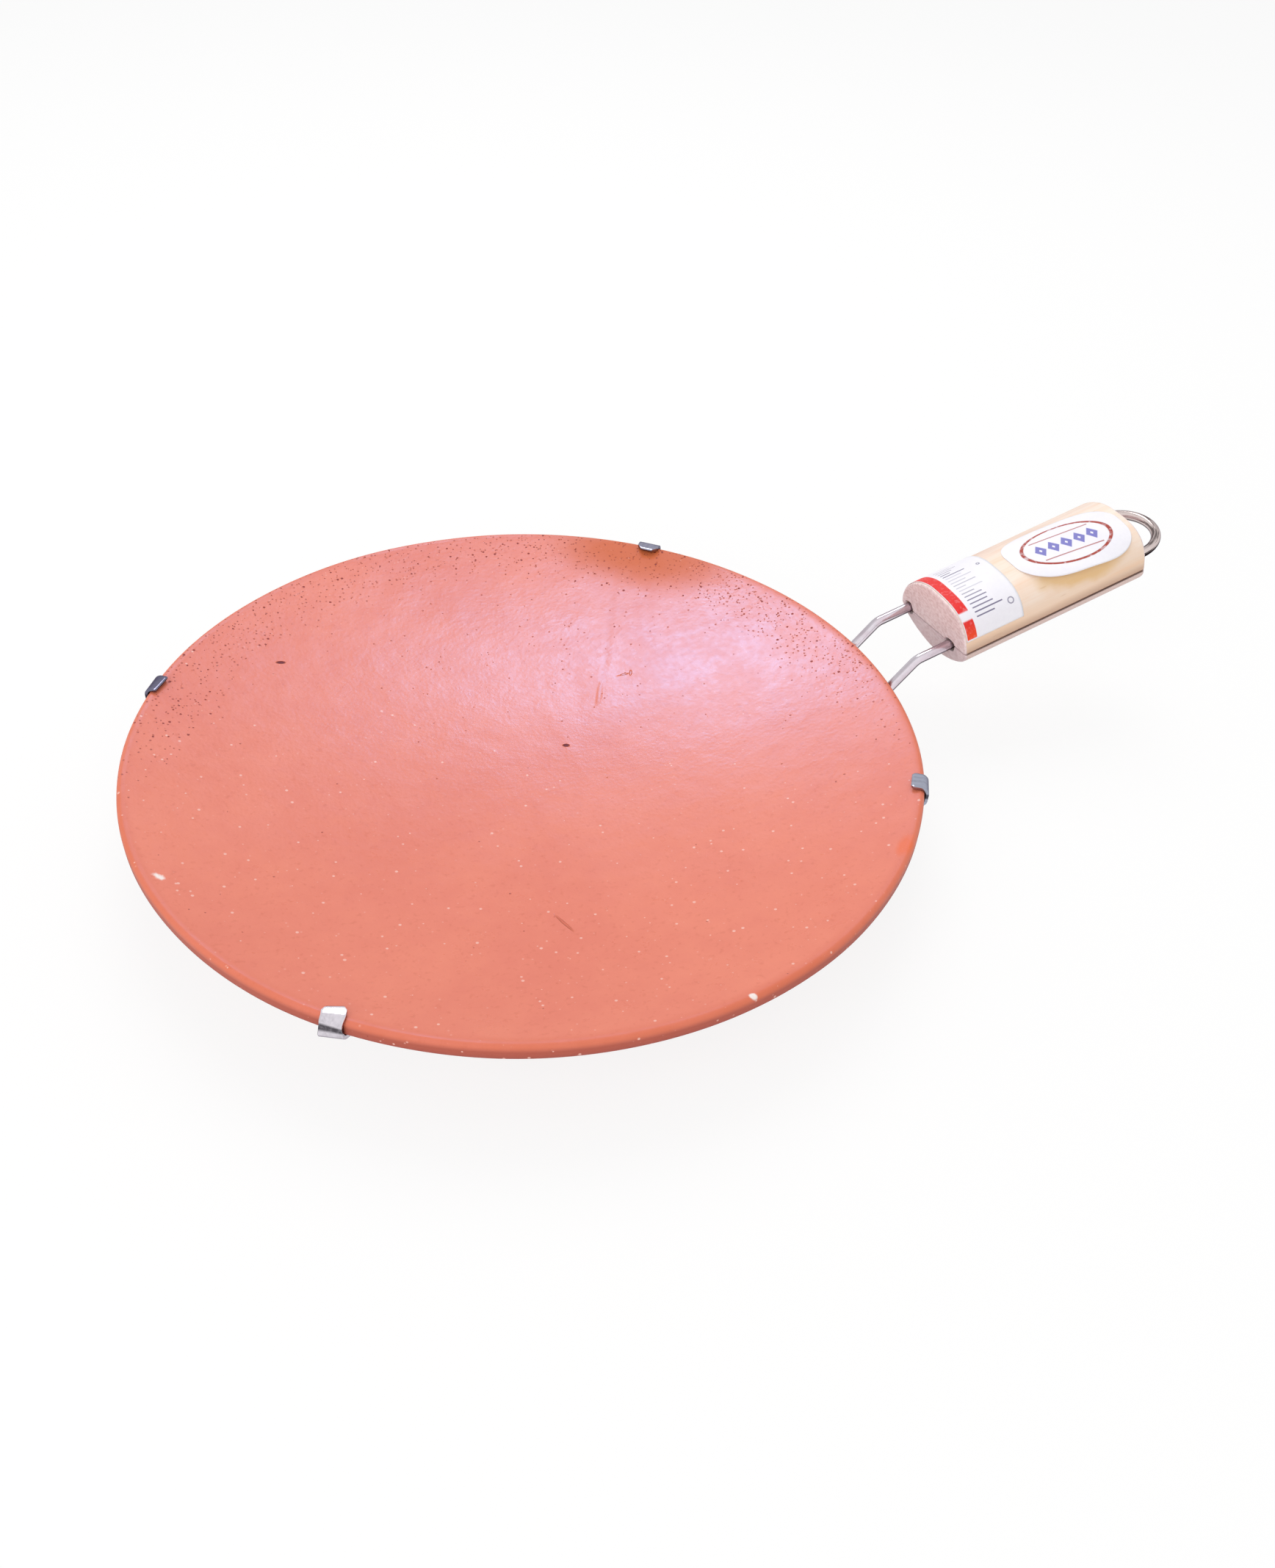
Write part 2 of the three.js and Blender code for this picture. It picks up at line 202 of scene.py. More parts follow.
def cloud(vector, scale, detail=3.0, rough=0.5):
    inputs = {"Vector": vector, "Scale": scale, "Detail": detail, "Roughness": rough}
    return put("ShaderNodeTexNoise", inputs).outputs["Fac"]


def newFinish(name):
    material = bpy.data.materials.new(name)
    material.use_nodes = True
    tree = material.node_tree
    return material, tree.nodes["Principled BSDF"], put("ShaderNodeTexCoord", {}, tree).outputs


def bump(height):
    return put("ShaderNodeBump", {"Height": height, "Strength": 1.0, "Distance": mm}).outputs["Normal"]


def newGroup(name, output, **given):
    group = bpy.data.node_groups.new(name, "ShaderNodeTree")
    for socketName, value in given.items():
        kind = "NodeSocketVector" if isinstance(value, tuple) else "NodeSocketFloat"
        group.interface.new_socket(socketName, in_out="INPUT", socket_type=kind).default_value = value
    group.interface.new_socket(output, in_out="OUTPUT", socket_type="NodeSocketFloat")
    return group, group.nodes.new("NodeGroupInput").outputs, group.nodes.new("NodeGroupOutput")


def useGroup(group, **inputs):
    return put("ShaderNodeGroup", inputs, node_tree=group).outputs[0]


# Shared effects

def makeOvalMark():
    # one soft-edged oval mark at a place: a stain, a chip, a scratch
    group, given, out = newGroup("ovalMark", "Mask", Vector=(0, 0, 0), Centre=(0, 0, 0), Turn=0.0,
                                 HalfSize=(0.01, 0.01, 0.01), Softness=0.2, Ragged=0.3, Grain=300.0)
    local = vectors("SUBTRACT", given["Vector"], given["Centre"])
    turned = put("ShaderNodeVectorRotate", {"Vector": local, "Angle": times(given["Turn"], -1.0)},
                 rotation_type="Z_AXIS").outputs[0]
    reach = vectors("LENGTH", vectors("DIVIDE", turned, given["HalfSize"]))
    wander = minus(cloud(given["Vector"], given["Grain"]), 0.5)
    reach = plus(reach, times(wander, given["Ragged"]))
    inner, outer = minus(1.0, given["Softness"]), plus(1.0, given["Softness"])
    fill(out, {"Mask": rise(reach, inner, outer, 1.0, 0.0)})
    return group


def makeSpeckles():
    # round specks, each in its own cell, in a share of the cells
    group, given, out = newGroup("speckles", "Mask", Vector=(0, 0, 0), Scale=300.0, Share=0.1, Size=0.3)
    cells = put("ShaderNodeTexVoronoi", {"Vector": given["Vector"], "Scale": given["Scale"]}).outputs
    lots = put("ShaderNodeSeparateColor", {"Color": cells["Color"]}).outputs
    chosen = maths("GREATER_THAN", lots["Red"], minus(1.0, given["Share"]))
    size = times(given["Size"], rise(lots["Green"], 0.0, 1.0, 0.45, 1.0))
    speck = rise(cells["Distance"], times(size, 0.55), size, 1.0, 0.0)
    fill(out, {"Mask": times(chosen, speck)})
    return group


def makeUnevenness():
    # slow and quick changes over a surface that a hand has worked
    group, given, out = newGroup("unevenness", "Value", Vector=(0, 0, 0),
                                 Slow=20.0, Quick=150.0, QuickShare=0.4)
    slow = cloud(given["Vector"], given["Slow"], 2.0)
    quick = cloud(given["Vector"], given["Quick"], 4.0)
    mixed = plus(slow, times(minus(quick, slow), given["QuickShare"]))
    fill(out, {"Value": rise(mixed, 0.25, 0.75)})
    return group


ovalMark = makeOvalMark()
speckles = makeSpeckles()
unevenness = makeUnevenness()


def markAt(places, centre, turn, halfSize, softness, ragged, grain):
    return useGroup(ovalMark, Vector=places, Centre=tuple(value * mm for value in centre),
                    Turn=math.radians(turn), HalfSize=tuple(value * mm for value in halfSize),
                    Softness=softness, Ragged=ragged, Grain=grain)


def specks(places, share, scale, size):
    return useGroup(speckles, Vector=places, Scale=scale, Share=share, Size=size)


def uneven(places, slow, quick, quickShare):
    return useGroup(unevenness, Vector=places, Slow=slow, Quick=quick, QuickShare=quickShare)


print("shared effects ready")


# Clay dish

dishLow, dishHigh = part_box("clay_dish")
dish = {
    "depth": 20 * mm,
    "lipHeight": 5 * mm,
    "lipRound": 1.6 * mm,
    "underRound": 2 * mm,
    "footRadius": 50 * mm,
    "bellyRadius": 90 * mm,
    "bellyRise": 8 * mm,
    "bowlPieces": 96,
    "lipPieces": 8,
    "underPieces": 7,
    "bellyPieces": 40,
    "turnPieces": 288,
    "wobble": 0.22 * mm,  # the clay is thrown by hand, so nothing on it is quite true
    "wobbleSize": 38 * mm,
}
rimZ = dishHigh.z
footZ = dishLow.z
dishRadius = dishHigh.x
crest = dishRadius - dish["lipRound"]
bowlRound = (crest ** 2 + dish["depth"] ** 2) / (2 * dish["depth"])
bowlMiddle = rimZ - dish["depth"]


def clayOutside():
    # radius and height, from the edge of the foot to the crest of the rim
    footEdge = Vector((dish["footRadius"], footZ))
    fullest = Vector((dish["bellyRadius"], footZ + dish["bellyRise"]))
    corner = Vector((dishRadius, rimZ - dish["lipHeight"]))
    turnStart = corner + (fullest - corner).normalized() * dish["underRound"]
    turnEnd = Vector((dishRadius, corner.y + dish["underRound"] / 2))

    def quadratic(start, middle, end, count):
        return interpolate_bezier(start, start.lerp(middle, 2 / 3), end.lerp(middle, 2 / 3), end, count)

    lip = []
    for step in range(dish["lipPieces"] + 1):
        angle = math.pi / 2 * step / dish["lipPieces"]
        reach = Vector((math.cos(angle), math.sin(angle))) * dish["lipRound"]
        lip.append(Vector((crest, rimZ - dish["lipRound"])) + reach)
    belly = quadratic(footEdge, fullest, turnStart, dish["bellyPieces"])
    return [*belly, *quadratic(turnStart, corner, turnEnd, dish["underPieces"])[1:], *lip]


def handWobble(co):
    # moves a place on the clay a little, and leaves the foot flat
    amount = dish["wobble"] * smoothRise(co.z, footZ + 1 * mm, footZ + 6 * mm)
    lift = noise.noise(co / dish["wobbleSize"]) * 0.5
    spread = noise.noise(co / dish["wobbleSize"] + Vector((9, 4, 2)))
    outwards = Vector((co.x, co.y, 0)).normalized()
    return co + amount * (Vector((0, 0, lift)) + outwards * spread)


def makeDish(material):
    bm = bmesh.new()
    start = bm.verts.new((0, 0, bowlMiddle))
    bmesh.ops.spin(bm, geom=[start], cent=(0, 0, bowlMiddle + bowlRound), axis=(0, -1, 0),
                   angle=math.asin(crest / bowlRound), steps=dish["bowlPieces"])
    last = max(bm.verts, key=lambda vert: vert.co.x)
    for radius, height in reversed(clayOutside()[:-1]):
        last = extrudeTo(bm, last, (radius, 0, height))
    extrudeTo(bm, last, (0, 0, footZ))
    bmesh.ops.spin(bm, geom=[*bm.verts, *bm.edges], axis=(0, 0, 1), angle=2 * math.pi,
                   steps=dish["turnPieces"], use_merge=True)
    bmesh.ops.remove_doubles(bm, verts=bm.verts, dist=0.01 * mm)
    bmesh.ops.recalc_face_normals(bm, faces=bm.faces)
    for vert in bm.verts:
        vert.co = handWobble(vert.co)
    return finishPiece("tawaDish", bm, material, "clay_dish")


clay = {
    "inside": colour(229, 127, 101),
    "insideWarm": colour(237, 138, 109),
    "lip": colour(222, 118, 84),
    # outside and outsideLowShade: the outer wall's colour with painted shade in it, darker low down
    "outside": colour(182, 90, 66),
    "outsideLowShade": colour(156, 76, 62),
    "under": colour(186, 94, 70),
    "stain": colour(208, 106, 50),
    "pit": colour(142, 50, 42),
    "fleck": colour(252, 206, 192),
    "chip": colour(250, 236, 230),
    "crack": colour(204, 96, 58),
    "dark": colour(112, 32, 18),
    "orange": colour(238, 112, 48),
    "lumps": ((820, 0.04), (240, 0.05), (75, 0.16)),  # how many to a metre, and height in mm
    # slow changes and quick ones to a metre, and the share of the quick ones
    "mottle": (22.0, 170.0, 0.35),
    "wipe": (60.0, 420.0, 0.5),
    # specks: cells to a metre, and size as a share of a cell
    "coarsePits": (470.0, 0.25),
    "smallPits": (760.0, 0.32),
    "flecks": (330.0, 0.2),
    "dust": (640.0, 0.26),
    "dustShare": 0.16,
    "pitsSide": (0.55, 0.83, 0),  # the direction in which the pits crowd
    "pitsLeft": (-0.5, 0.87, 0),  # a second, smaller crowd
    # each mark's centre in mm, turn in degrees, half size in mm, softness, raggedness and grain
    "marks": {
        "stain": ((82, 91, 29), 138, (31, 15, 12), 0.55, 0.55, 42.0),  # scorched, at the far clip
        "ridge": ((52, 55, 20), -118, (30, 1.3, 8), 0.9, 0.9, 90.0),
        "crack": ((38.5, 31, 15.5), -119, (5, 0.9, 6), 0.6, 0.8, 300.0),
        "bite": ((50.6, 36.6, 17.3), -8, (1.9, 0.4, 4), 0.4, 1.4, 600.0),
        "hook": ((53.0, 36.2, 17.3), 62, (1.3, 0.4, 4), 0.4, 1.2, 600.0),
        "scratch": ((-16.9, -71, 19), -78, (4.6, 0.4, 4), 0.4, 0.6, 300.0),
        "dash": ((-63.3, 77.2, 24.9), -6, (1.5, 0.62, 3), 0.3, 0.3, 300.0),
        "dot": ((17.6, 11.4, 12.8), -24, (1.1, 0.7, 3), 0.3, 0.4, 300.0),
        "chipLeft": ((-119.8, -21.4, 31.1), -48, (1.7, 0.9, 3), 0.5, 1.6, 500.0),
        "chipNear": ((14, -125.3, 32.3), -33, (1.1, 0.8, 3), 0.3, 0.4, 300.0),
        "blush": ((84.2, -91.5, 32), -47, (2.2, 4.4, 5), 0.5, 0.6, 300.0),
    },
}


def firedClay():
    material, shader, coordinates = newFinish("firedClay")
    places = coordinates["Object"]
    x, _, z = axes(places)
    radius = vectors("LENGTH", stretch(places, 1, 1, 0))
    bowlHere = plus(times(radius, radius, 0.5 / bowlRound), bowlMiddle)
    outside = rise(minus(bowlHere, z), 0.3 * mm, 2.3 * mm)
    mark = {name: markAt(places, *values) for name, values in clay["marks"].items()}
    mottle = uneven(places, *clay["mottle"])
    shade = tint(mottle, clay["inside"], clay["insideWarm"])
    shade = tint(rise(cloud(places, 620.0, 2.0), 0.55, 0.8, 0.0, 0.3), shade, clay["crack"])

    # the rim is more orange; the outer wall gets painted shade, darkest toward its lower edge, and the
    # underside its own colour
    lip = times(rise(radius, 122.2 * mm, 126.4 * mm), rise(mottle, -0.6, 1.2))
    shade = tint(lip, shade, clay["lip"])
    wall = tint(rise(z, rimZ - 2.5 * mm, rimZ - 6 * mm), clay["outside"], clay["outsideLowShade"])
    wall = tint(rise(z, rimZ - 6 * mm, rimZ - 10 * mm), wall, clay["under"])
    shade = tint(outside, shade, wall)
    shade = tint(times(mark["stain"], 0.82), shade, clay["stain"])

    # pits crowd along the far side of the rim, most of all to the right
    side = vectors("DOT_PRODUCT", places, clay["pitsSide"])
    crowd = times(rise(side, 5 * mm, 82 * mm), rise(radius, 98 * mm, 116 * mm))
    crowd = times(crowd, rise(x, -20 * mm, 65 * mm, 0.3, 1.0))
    leftSide = vectors("DOT_PRODUCT", places, clay["pitsLeft"])
    leftCrowd = times(rise(leftSide, 72 * mm, 102 * mm, 0.0, 0.85), rise(radius, 103 * mm, 112 * mm))
    patches = rise(cloud(places, 34.0), 0.3, 0.52, 0.4, 1.0)
    share = times(larger(crowd, leftCrowd), minus(1.0, outside), patches)
    away = larger(rise(side, 0.0, 70 * mm, 0.08, 1.0), rise(leftCrowd, 0.0, 0.2))
    few = times(plus(times(share, 0.6), 0.004), away)
    many = times(plus(times(share, 0.9), 0.07), away)
    small = specks(places, many, *clay["smallPits"])
    pits = larger(specks(places, few, *clay["coarsePits"]), times(small, 0.6))
    shade = tint(times(pits, 0.9), shade, clay["pit"])

    # pale flecks lie over the near part, and fine dust everywhere
    near = rise(side, 45 * mm, -30 * mm, 0.0, 0.36)
    dust = specks(places, clay["dustShare"], *clay["dust"])
    pale = larger(specks(places, near, *clay["flecks"]), times(dust, 0.35))
    shade = tint(times(pale, 0.68), shade, clay["fleck"])

    # single marks
    lines = larger(times(mark["crack"], 0.3), mark["bite"], mark["scratch"], mark["hook"])
    shade = tint(times(lines, 0.6), shade, clay["crack"])
    shade = tint(times(mark["ridge"], 0.1), shade, clay["crack"])
    holes = larger(mark["dash"], mark["dot"])
    shade = tint(holes, shade, clay["dark"])
    shade = tint(larger(mark["chipLeft"], mark["chipNear"]), shade, clay["chip"])
    shade = tint(times(mark["blush"], 0.7), shade, clay["orange"])

    # smoothed by hand inside, so the sheen is broken up
    wipe = uneven(places, *clay["wipe"])
    dull = larger(outside, mark["stain"], lip, holes, pits)
    rough = plus(rise(wipe, 0.0, 1.0, 0.27, 0.33), times(dull, 0.28))
    lumps = (times(cloud(places, count, 1.0), size) for count, size in clay["lumps"])
    height = plus(*lumps, times(pits, -0.22), times(larger(lines, holes), -0.3), times(mark["ridge"], 0.035))
    fill(shader, {"Base Color": shade, "Roughness": rough, "Specular IOR Level": 0.4,
                  "Specular Tint": (0.16, 0.52, 1.0, 1.0), "Normal": bump(height)})
    return material


clayDish = makeDish(firedClay())


# Steel straps

straps = {
    "width": 8 * mm,
    "thickness": 1 * mm,
    "gap": 0.3 * mm,
    "ramp": 12 * mm,
    "tabSlope": 1,  # degrees, so the tab stands off the bowl
    "endRoll": (0.7 * mm, 30),  # the last of the tab turns down, by so many degrees
    "raisedFlat": 6 * mm,
    "step": 4 * mm,
    "acrossCuts": 7,
    "tabPieces": 12,
    "edge": 0.16 * mm,
    # each strap's tones colour the tab at each end, a painted reflection: bright where a lamp shows in it,
    # dull where it faces dark
    "lower": {
        "angle": 46.5, "shift": 1 * mm, "raised": False,
        # of the tabs at the -X and +X ends
        "reaches": (2.3 * mm, 3.6 * mm), "corners": (1.2 * mm, 1.9 * mm), "turns": (20, 0),
        "narrower": (1.5 * mm, 0), "bulges": (1.4 * mm, 0), "tones": ("stripBright", "strip"),
    },
    "upper": {
        "angle": -33.5, "shift": -1.1 * mm, "raised": True,
        "reaches": (1.8 * mm, 2.9 * mm), "corners": (0.3 * mm, 0.8 * mm), "turns": (-6, -4),
        "narrower": (0, 1.1 * mm), "bulges": (0, 0), "tones": ("stripDull", "stripPale"),
    },
}


def halfStrap(raised, reach):
    # radius and height of the strap's middle line, from the crossing to the end of the tab
    thickness = straps["thickness"]
    flat = thickness / 2
    line = [Vector((0, flat + (thickness if raised else 0)))]
    if raised:
        line.append(Vector((straps["raisedFlat"], flat + thickness)))
        line.append(Vector((straps["raisedFlat"] + straps["step"], flat)))
    line.append(Vector((dish["footRadius"] - straps["ramp"], flat)))
    line += beside(clayOutside(), straps["gap"] + thickness / 2)
    roll, rollTurn = straps["endRoll"]
    for step in range(1, straps["tabPieces"] + 1):
        here = reach * step / straps["tabPieces"]
        slope = math.radians(straps["tabSlope"] + rollTurn * smoothRise(here, reach - roll, reach))
        stride = Vector((math.cos(slope), math.sin(slope)))
        line.append(line[-1] - stride * reach / straps["tabPieces"])
    return line


def shapeTab(vert, fromEnd, choice):
    # the corners of each tab are cut off, one side tapers, and a tab can be bent over askew
    x, _, z = vert.co
    end = 0 if x < 0 else 1
    half = straps["width"] / 2
    vert.co.y *= (half - max(choice["corners"][end] - fromEnd, 0)) / half
    side = 0.5 - vert.co.y / straps["width"]
    vert.co.y += choice["narrower"][end] * side * smoothRise(z, rimZ - 14 * mm, rimZ - 6 * mm)
    bulge = smoothRise(z, rimZ - 12 * mm, rimZ - 5 * mm) * smoothRise(z, rimZ - 1 * mm, rimZ - 3.5 * mm)
    vert.co.x += math.copysign(choice["bulges"][end] * (1 - side) * bulge, x)
    beyond = smoothRise(dishRadius - abs(x), -0.5 * mm, 2 * mm)
    if beyond > 0 and z > rimZ - 2 * mm:
        askew = Matrix.Rotation(math.radians(choice["turns"][end] * beyond), 3, "Z")
        fold = Vector((math.copysign(dishRadius - mm, x), 0, 0))
        vert.co = fold + askew @ (vert.co - fold)


def makeStrap(name, node, choice, material):
    far, half = (halfStrap(choice["raised"], reach) for reach in choice["reaches"])
    line = [Vector((-point.x, point.y)) for point in reversed(far[1:])] + half
    bm = bmesh.new()
    last = bm.verts.new((line[0].x, -straps["width"] / 2, line[0].y))
    for point in line[1:]:
        last = extrudeTo(bm, last, (point.x, -straps["width"] / 2, point.y))
    made = bmesh.ops.extrude_edge_only(bm, edges=bm.edges)["geom"]
    bmesh.ops.translate(bm, vec=(0, straps["width"], 0), verts=only(bmesh.types.BMVert, made))
    across = [edge for edge in bm.edges if abs(edge.verts[0].co.y - edge.verts[1].co.y) > mm]
    bmesh.ops.subdivide_edges(bm, edges=across, cuts=straps["acrossCuts"], use_grid_fill=True)
    walked = distances(line)
    places = list(zip(line, walked))
    for vert in bm.verts:
        here = Vector((vert.co.x, vert.co.z))
        along = min(places, key=lambda place: (place[0] - here).length)[1]
        shapeTab(vert, min(along, walked[-1] - along), choice)
    turn = Matrix.Rotation(math.radians(choice["angle"]), 4, "Z")
    bmesh.ops.transform(bm, matrix=turn @ Matrix.Translation((0, choice["shift"], 0)), verts=bm.verts)
    bmesh.ops.recalc_face_normals(bm, faces=bm.faces)
    piece = finishPiece(name, bm, material, node, 60)
    thicken(piece, straps["thickness"], 0).use_even_offset = True
    soften(piece, straps["edge"], 50)


steel = {
    # strip tones: painted reflections of what each tab faces
    "strip": colour(158, 158, 176),
    "stripBright": colour(226, 220, 228),
    "stripDull": colour(116, 114, 134),
    "stripPale": colour(170, 174, 190),
    # stripDark: painted shade and dark reflection on the straps
    "stripDark": colour(36, 30, 40),
    # wirePink and loop: painted reflections on the wire; wireDark: painted shade and dark reflection
    "wire": colour(236, 230, 238),
    "wirePink": colour(222, 206, 216),
    "loop": colour(226, 210, 204),
    "wireDark": colour(38, 28, 28),
    "bead": colour(150, 132, 118),
    "beadDark": colour(88, 70, 62),
    "clouds": (90.0, 600.0, 0.4),  # as the clay's mottle
}


def bareSteel(name, lengthways, soilAndPaintedShade, toneAndPaintedReflection, dark, roughLow, roughHigh):
    # drawn or rolled steel: fine lines run along it, and a second, darker colour for wear and soil, and for
    # painted shade and painted dark reflections
    material, shader, coordinates = newFinish(name)
    places = coordinates["Object"]
    straight = lengthways(places)
    streaks = cloud(stretch(straight, 60, 2600, 2600), 1.0)
    bands = cloud(stretch(straight, 70, 900, 900), 1.0)
    clouds = uneven(places, *steel["clouds"])
    wearAndPaintedShade = times(clouds, rise(bands, 0.35, 0.65, 0.1, 0.34))
    wearAndPaintedShade = larger(wearAndPaintedShade, soilAndPaintedShade(places, straight, bands))
    rough = rise(plus(times(streaks, 0.5), times(wearAndPaintedShade, 0.5)), 0.0, 1.0, roughLow, roughHigh)
    fill(shader, {"Base Color": tint(wearAndPaintedShade, toneAndPaintedReflection(places, straight), dark), "Roughness": rough,
                  "Metallic": 1.0, "Specular Tint": (0.42, 0.4, 0.44, 1.0),
                  "Normal": bump(times(streaks, 0.006))})
    return material


def stripSteel(name, choice):
    def lengthways(places):
        inputs = {"Vector": places, "Rotation": (0, 0, math.radians(-choice["angle"])),
                  "Location": (0, -choice["shift"], 0)}
        return put("ShaderNodeMapping", inputs).outputs[0]

    def soilAndPaintedShade(places, straight, bands):
        # painted shade and dark reflection, darker under the dish and in the fold below the rim; also darker
        # along its edges just under the rim
        height = axes(places)["Z"]
        half = straps["width"] / 2
        shadeUnderDish = rise(height, 26 * mm, 23.5 * mm, 0.0, 0.7)
        edges = times(rise(sizeOf(axes(straight)["Y"]), half - 0.3 * mm, half),
                      rise(height, rimZ - 0.6 * mm, rimZ - 1.8 * mm, 0.0, 0.95))
        fold = times(rise(height, rimZ - 3.6 * mm, rimZ - 2.4 * mm),
                     rise(height, rimZ - 0.6 * mm, rimZ - 1.6 * mm, 0.0, 0.9))
        return times(larger(shadeUnderDish, edges, fold), rise(bands, 0.2, 0.6, 0.75, 1.0))

    def toneAndPaintedReflection(places, straight):
        # each end of the strap gets its own tone, a painted reflection
        first, second = (steel[tone] for tone in choice["tones"])
        return tint(rise(axes(straight)["X"], -60 * mm, 60 * mm), first, second)

    return bareSteel(name, lengthways, soilAndPaintedShade, toneAndPaintedReflection, steel["stripDark"], 0.1, 0.26)


makeStrap("tawaStrapLower", "strap_lower", straps["lower"], stripSteel("stripSteelLower", straps["lower"]))
makeStrap("tawaStrapUpper", "strap_upper", straps["upper"], stripSteel("stripSteelUpper", straps["upper"]))


# Handle wire

handle = {
    "radius": 1.75 * mm,
    "spacing": 25.8 * mm,
    "pressedHalfHeight": 1 * mm,
    "pressedHalfWidth": 2.4 * mm,
    "pressedFrom": 1.3 * mm,  # half height before its top and bottom are pressed flat
    "level": 2 * mm,
    "tail": -25.5 * mm,
    "flatEnd": 54 * mm,
    "fade": 6 * mm,
    "rise": 45,  # degrees
    "lowerBend": 9 * mm,
    "upperBend": 6 * mm,
    "bendOutsideRim": 14 * mm,
    "bendAboveRim": 0.7 * mm,
    "tilt": 14.3,  # degrees
    "toGrip": 13.8 * mm,
    "loopStart": 83 * mm,
    "straightEnd": 76.5 * mm,  # behind this the wire shows again
    "turnStep": 3.0,  # degrees between two sections
    "sides": 28,
}


def alongAndOff(slope):
    return Vector((math.cos(slope), 0, math.sin(slope))), Vector((-math.sin(slope), 0, math.cos(slope)))


tilt = math.radians(handle["tilt"])
alongGrip, offGrip = alongAndOff(tilt)
bendPlace = Vector((dishRadius + handle["bendOutsideRim"], 0, rimZ + handle["bendAboveRim"]))
gripFront = bendPlace + alongGrip * handle["toGrip"]
legSides = (-handle["spacing"] / 2, handle["spacing"] / 2)


def wireStation(centre, along, off, halfWidth, halfHeight):
    turn = Matrix((off.cross(along), off, along)).transposed().to_4x4()
    return Matrix.Translation(centre) @ turn @ Matrix.Diagonal((halfWidth, halfHeight, 1, 1))


def roundStation(x, z, slope):
    return Vector((x, 0, z)), *alongAndOff(slope), handle["radius"], handle["radius"]


def wireBend(corner, bendRound, fromSlope, toSlope):
    turn = toSlope - fromSlope
    sign = math.copysign(1, turn)
    setback = bendRound * math.tan(abs(turn) / 2)
    start = Vector((corner.x - setback * math.cos(fromSlope), corner.z - setback * math.sin(fromSlope)))
    middle = start + sign * bendRound * Vector((-math.sin(fromSlope), math.cos(fromSlope)))
    steps = math.ceil(math.degrees(abs(turn)) / handle["turnStep"])
    made = []
    for step in range(steps + 1):
        slope = fromSlope + turn * step / steps
        place = middle + sign * bendRound * Vector((math.sin(slope), -math.cos(slope)))
        made.append(roundStation(place.x, place.y, slope))
    return made


def legStations():
    slope = math.radians(handle["rise"])
    level = handle["level"]
    lower = Vector((bendPlace.x - (bendPlace.z - level) / math.tan(slope), 0, level))
    pressed = []
    for x in (handle["tail"], handle["tail"] + 1 * mm, handle["flatEnd"]):
        here = roundStation(x, level, 0)[:3]
        pressed.append((*here, handle["pressedHalfWidth"], handle["pressedFrom"]))
    return [*pressed, roundStation(handle["flatEnd"] + handle["fade"], level, 0),
            *wireBend(lower, handle["lowerBend"], 0, slope),
            *wireBend(bendPlace, handle["upperBend"], slope, tilt)]


def loopStations():
    middle = gripFront + alongGrip * handle["loopStart"]
    steps = math.ceil(180 / handle["turnStep"])
    made = []
    for step in range(steps + 1):
        angle = math.pi * step / steps - math.pi / 2
        spoke = Vector((0, math.sin(angle), 0)) + alongGrip * math.cos(angle)
        made.append((middle + spoke * handle["spacing"] / 2, offGrip.cross(spoke), offGrip,
                     handle["radius"], handle["radius"]))
    return made


def makeWire(material):
    aside = Vector((0, handle["spacing"] / 2, 0))
    leg = legStations()
    out = [wireStation(centre - aside, along, *rest) for centre, along, *rest in leg]
    loop = [wireStation(*station) for station in loopStations()]
    back = [wireStation(centre + aside, -along, *rest) for centre, along, *rest in reversed(leg)]
    stations = [*out, *loop, *back]
    walked = distances([station.translation for station in stations])
    bm = bmesh.new()
    straight = bm.verts.layers.float_vector.new("straight")
    verts = bmesh.ops.create_circle(bm, cap_ends=True, segments=handle["sides"], radius=1,
                                    matrix=stations[0])["verts"]
    edges = list(bm.edges)
    for index, station in enumerate(stations):
        if index > 0:
            made = bmesh.ops.extrude_edge_only(bm, edges=edges)["geom"]
            edges = only(bmesh.types.BMEdge, made)
            verts = only(bmesh.types.BMVert, made)
            bmesh.ops.transform(bm, matrix=station @ stations[index - 1].inverted(), verts=verts)
        for vert in verts:
            # the place it would have on a straight wire
            across = station.inverted() @ vert.co
            vert[straight] = (walked[index], across.x * handle["radius"], across.y * handle["radius"])
    bmesh.ops.edgeloop_fill(bm, edges=edges)
    low = handle["level"] - handle["pressedHalfHeight"]
    high = handle["level"] + handle["pressedHalfHeight"]
    for vert in bm.verts:
        if vert.co.x < handle["flatEnd"] + 1 * mm:
            vert.co.z = min(max(vert.co.z, low), high)
    bmesh.ops.recalc_face_normals(bm, faces=bm.faces)
    finishPiece("tawaWire", bm, material, "handle_wire", 50)


def loopHere(places):
    # where the loop starts: its browner tone and dark streaks, painted reflections, are not on the legs
    start = gripFront.x + handle["straightEnd"] * math.cos(tilt)
    return rise(axes(places)["X"], start - 2 * mm, start + 3 * mm, 0.0, 0.85)


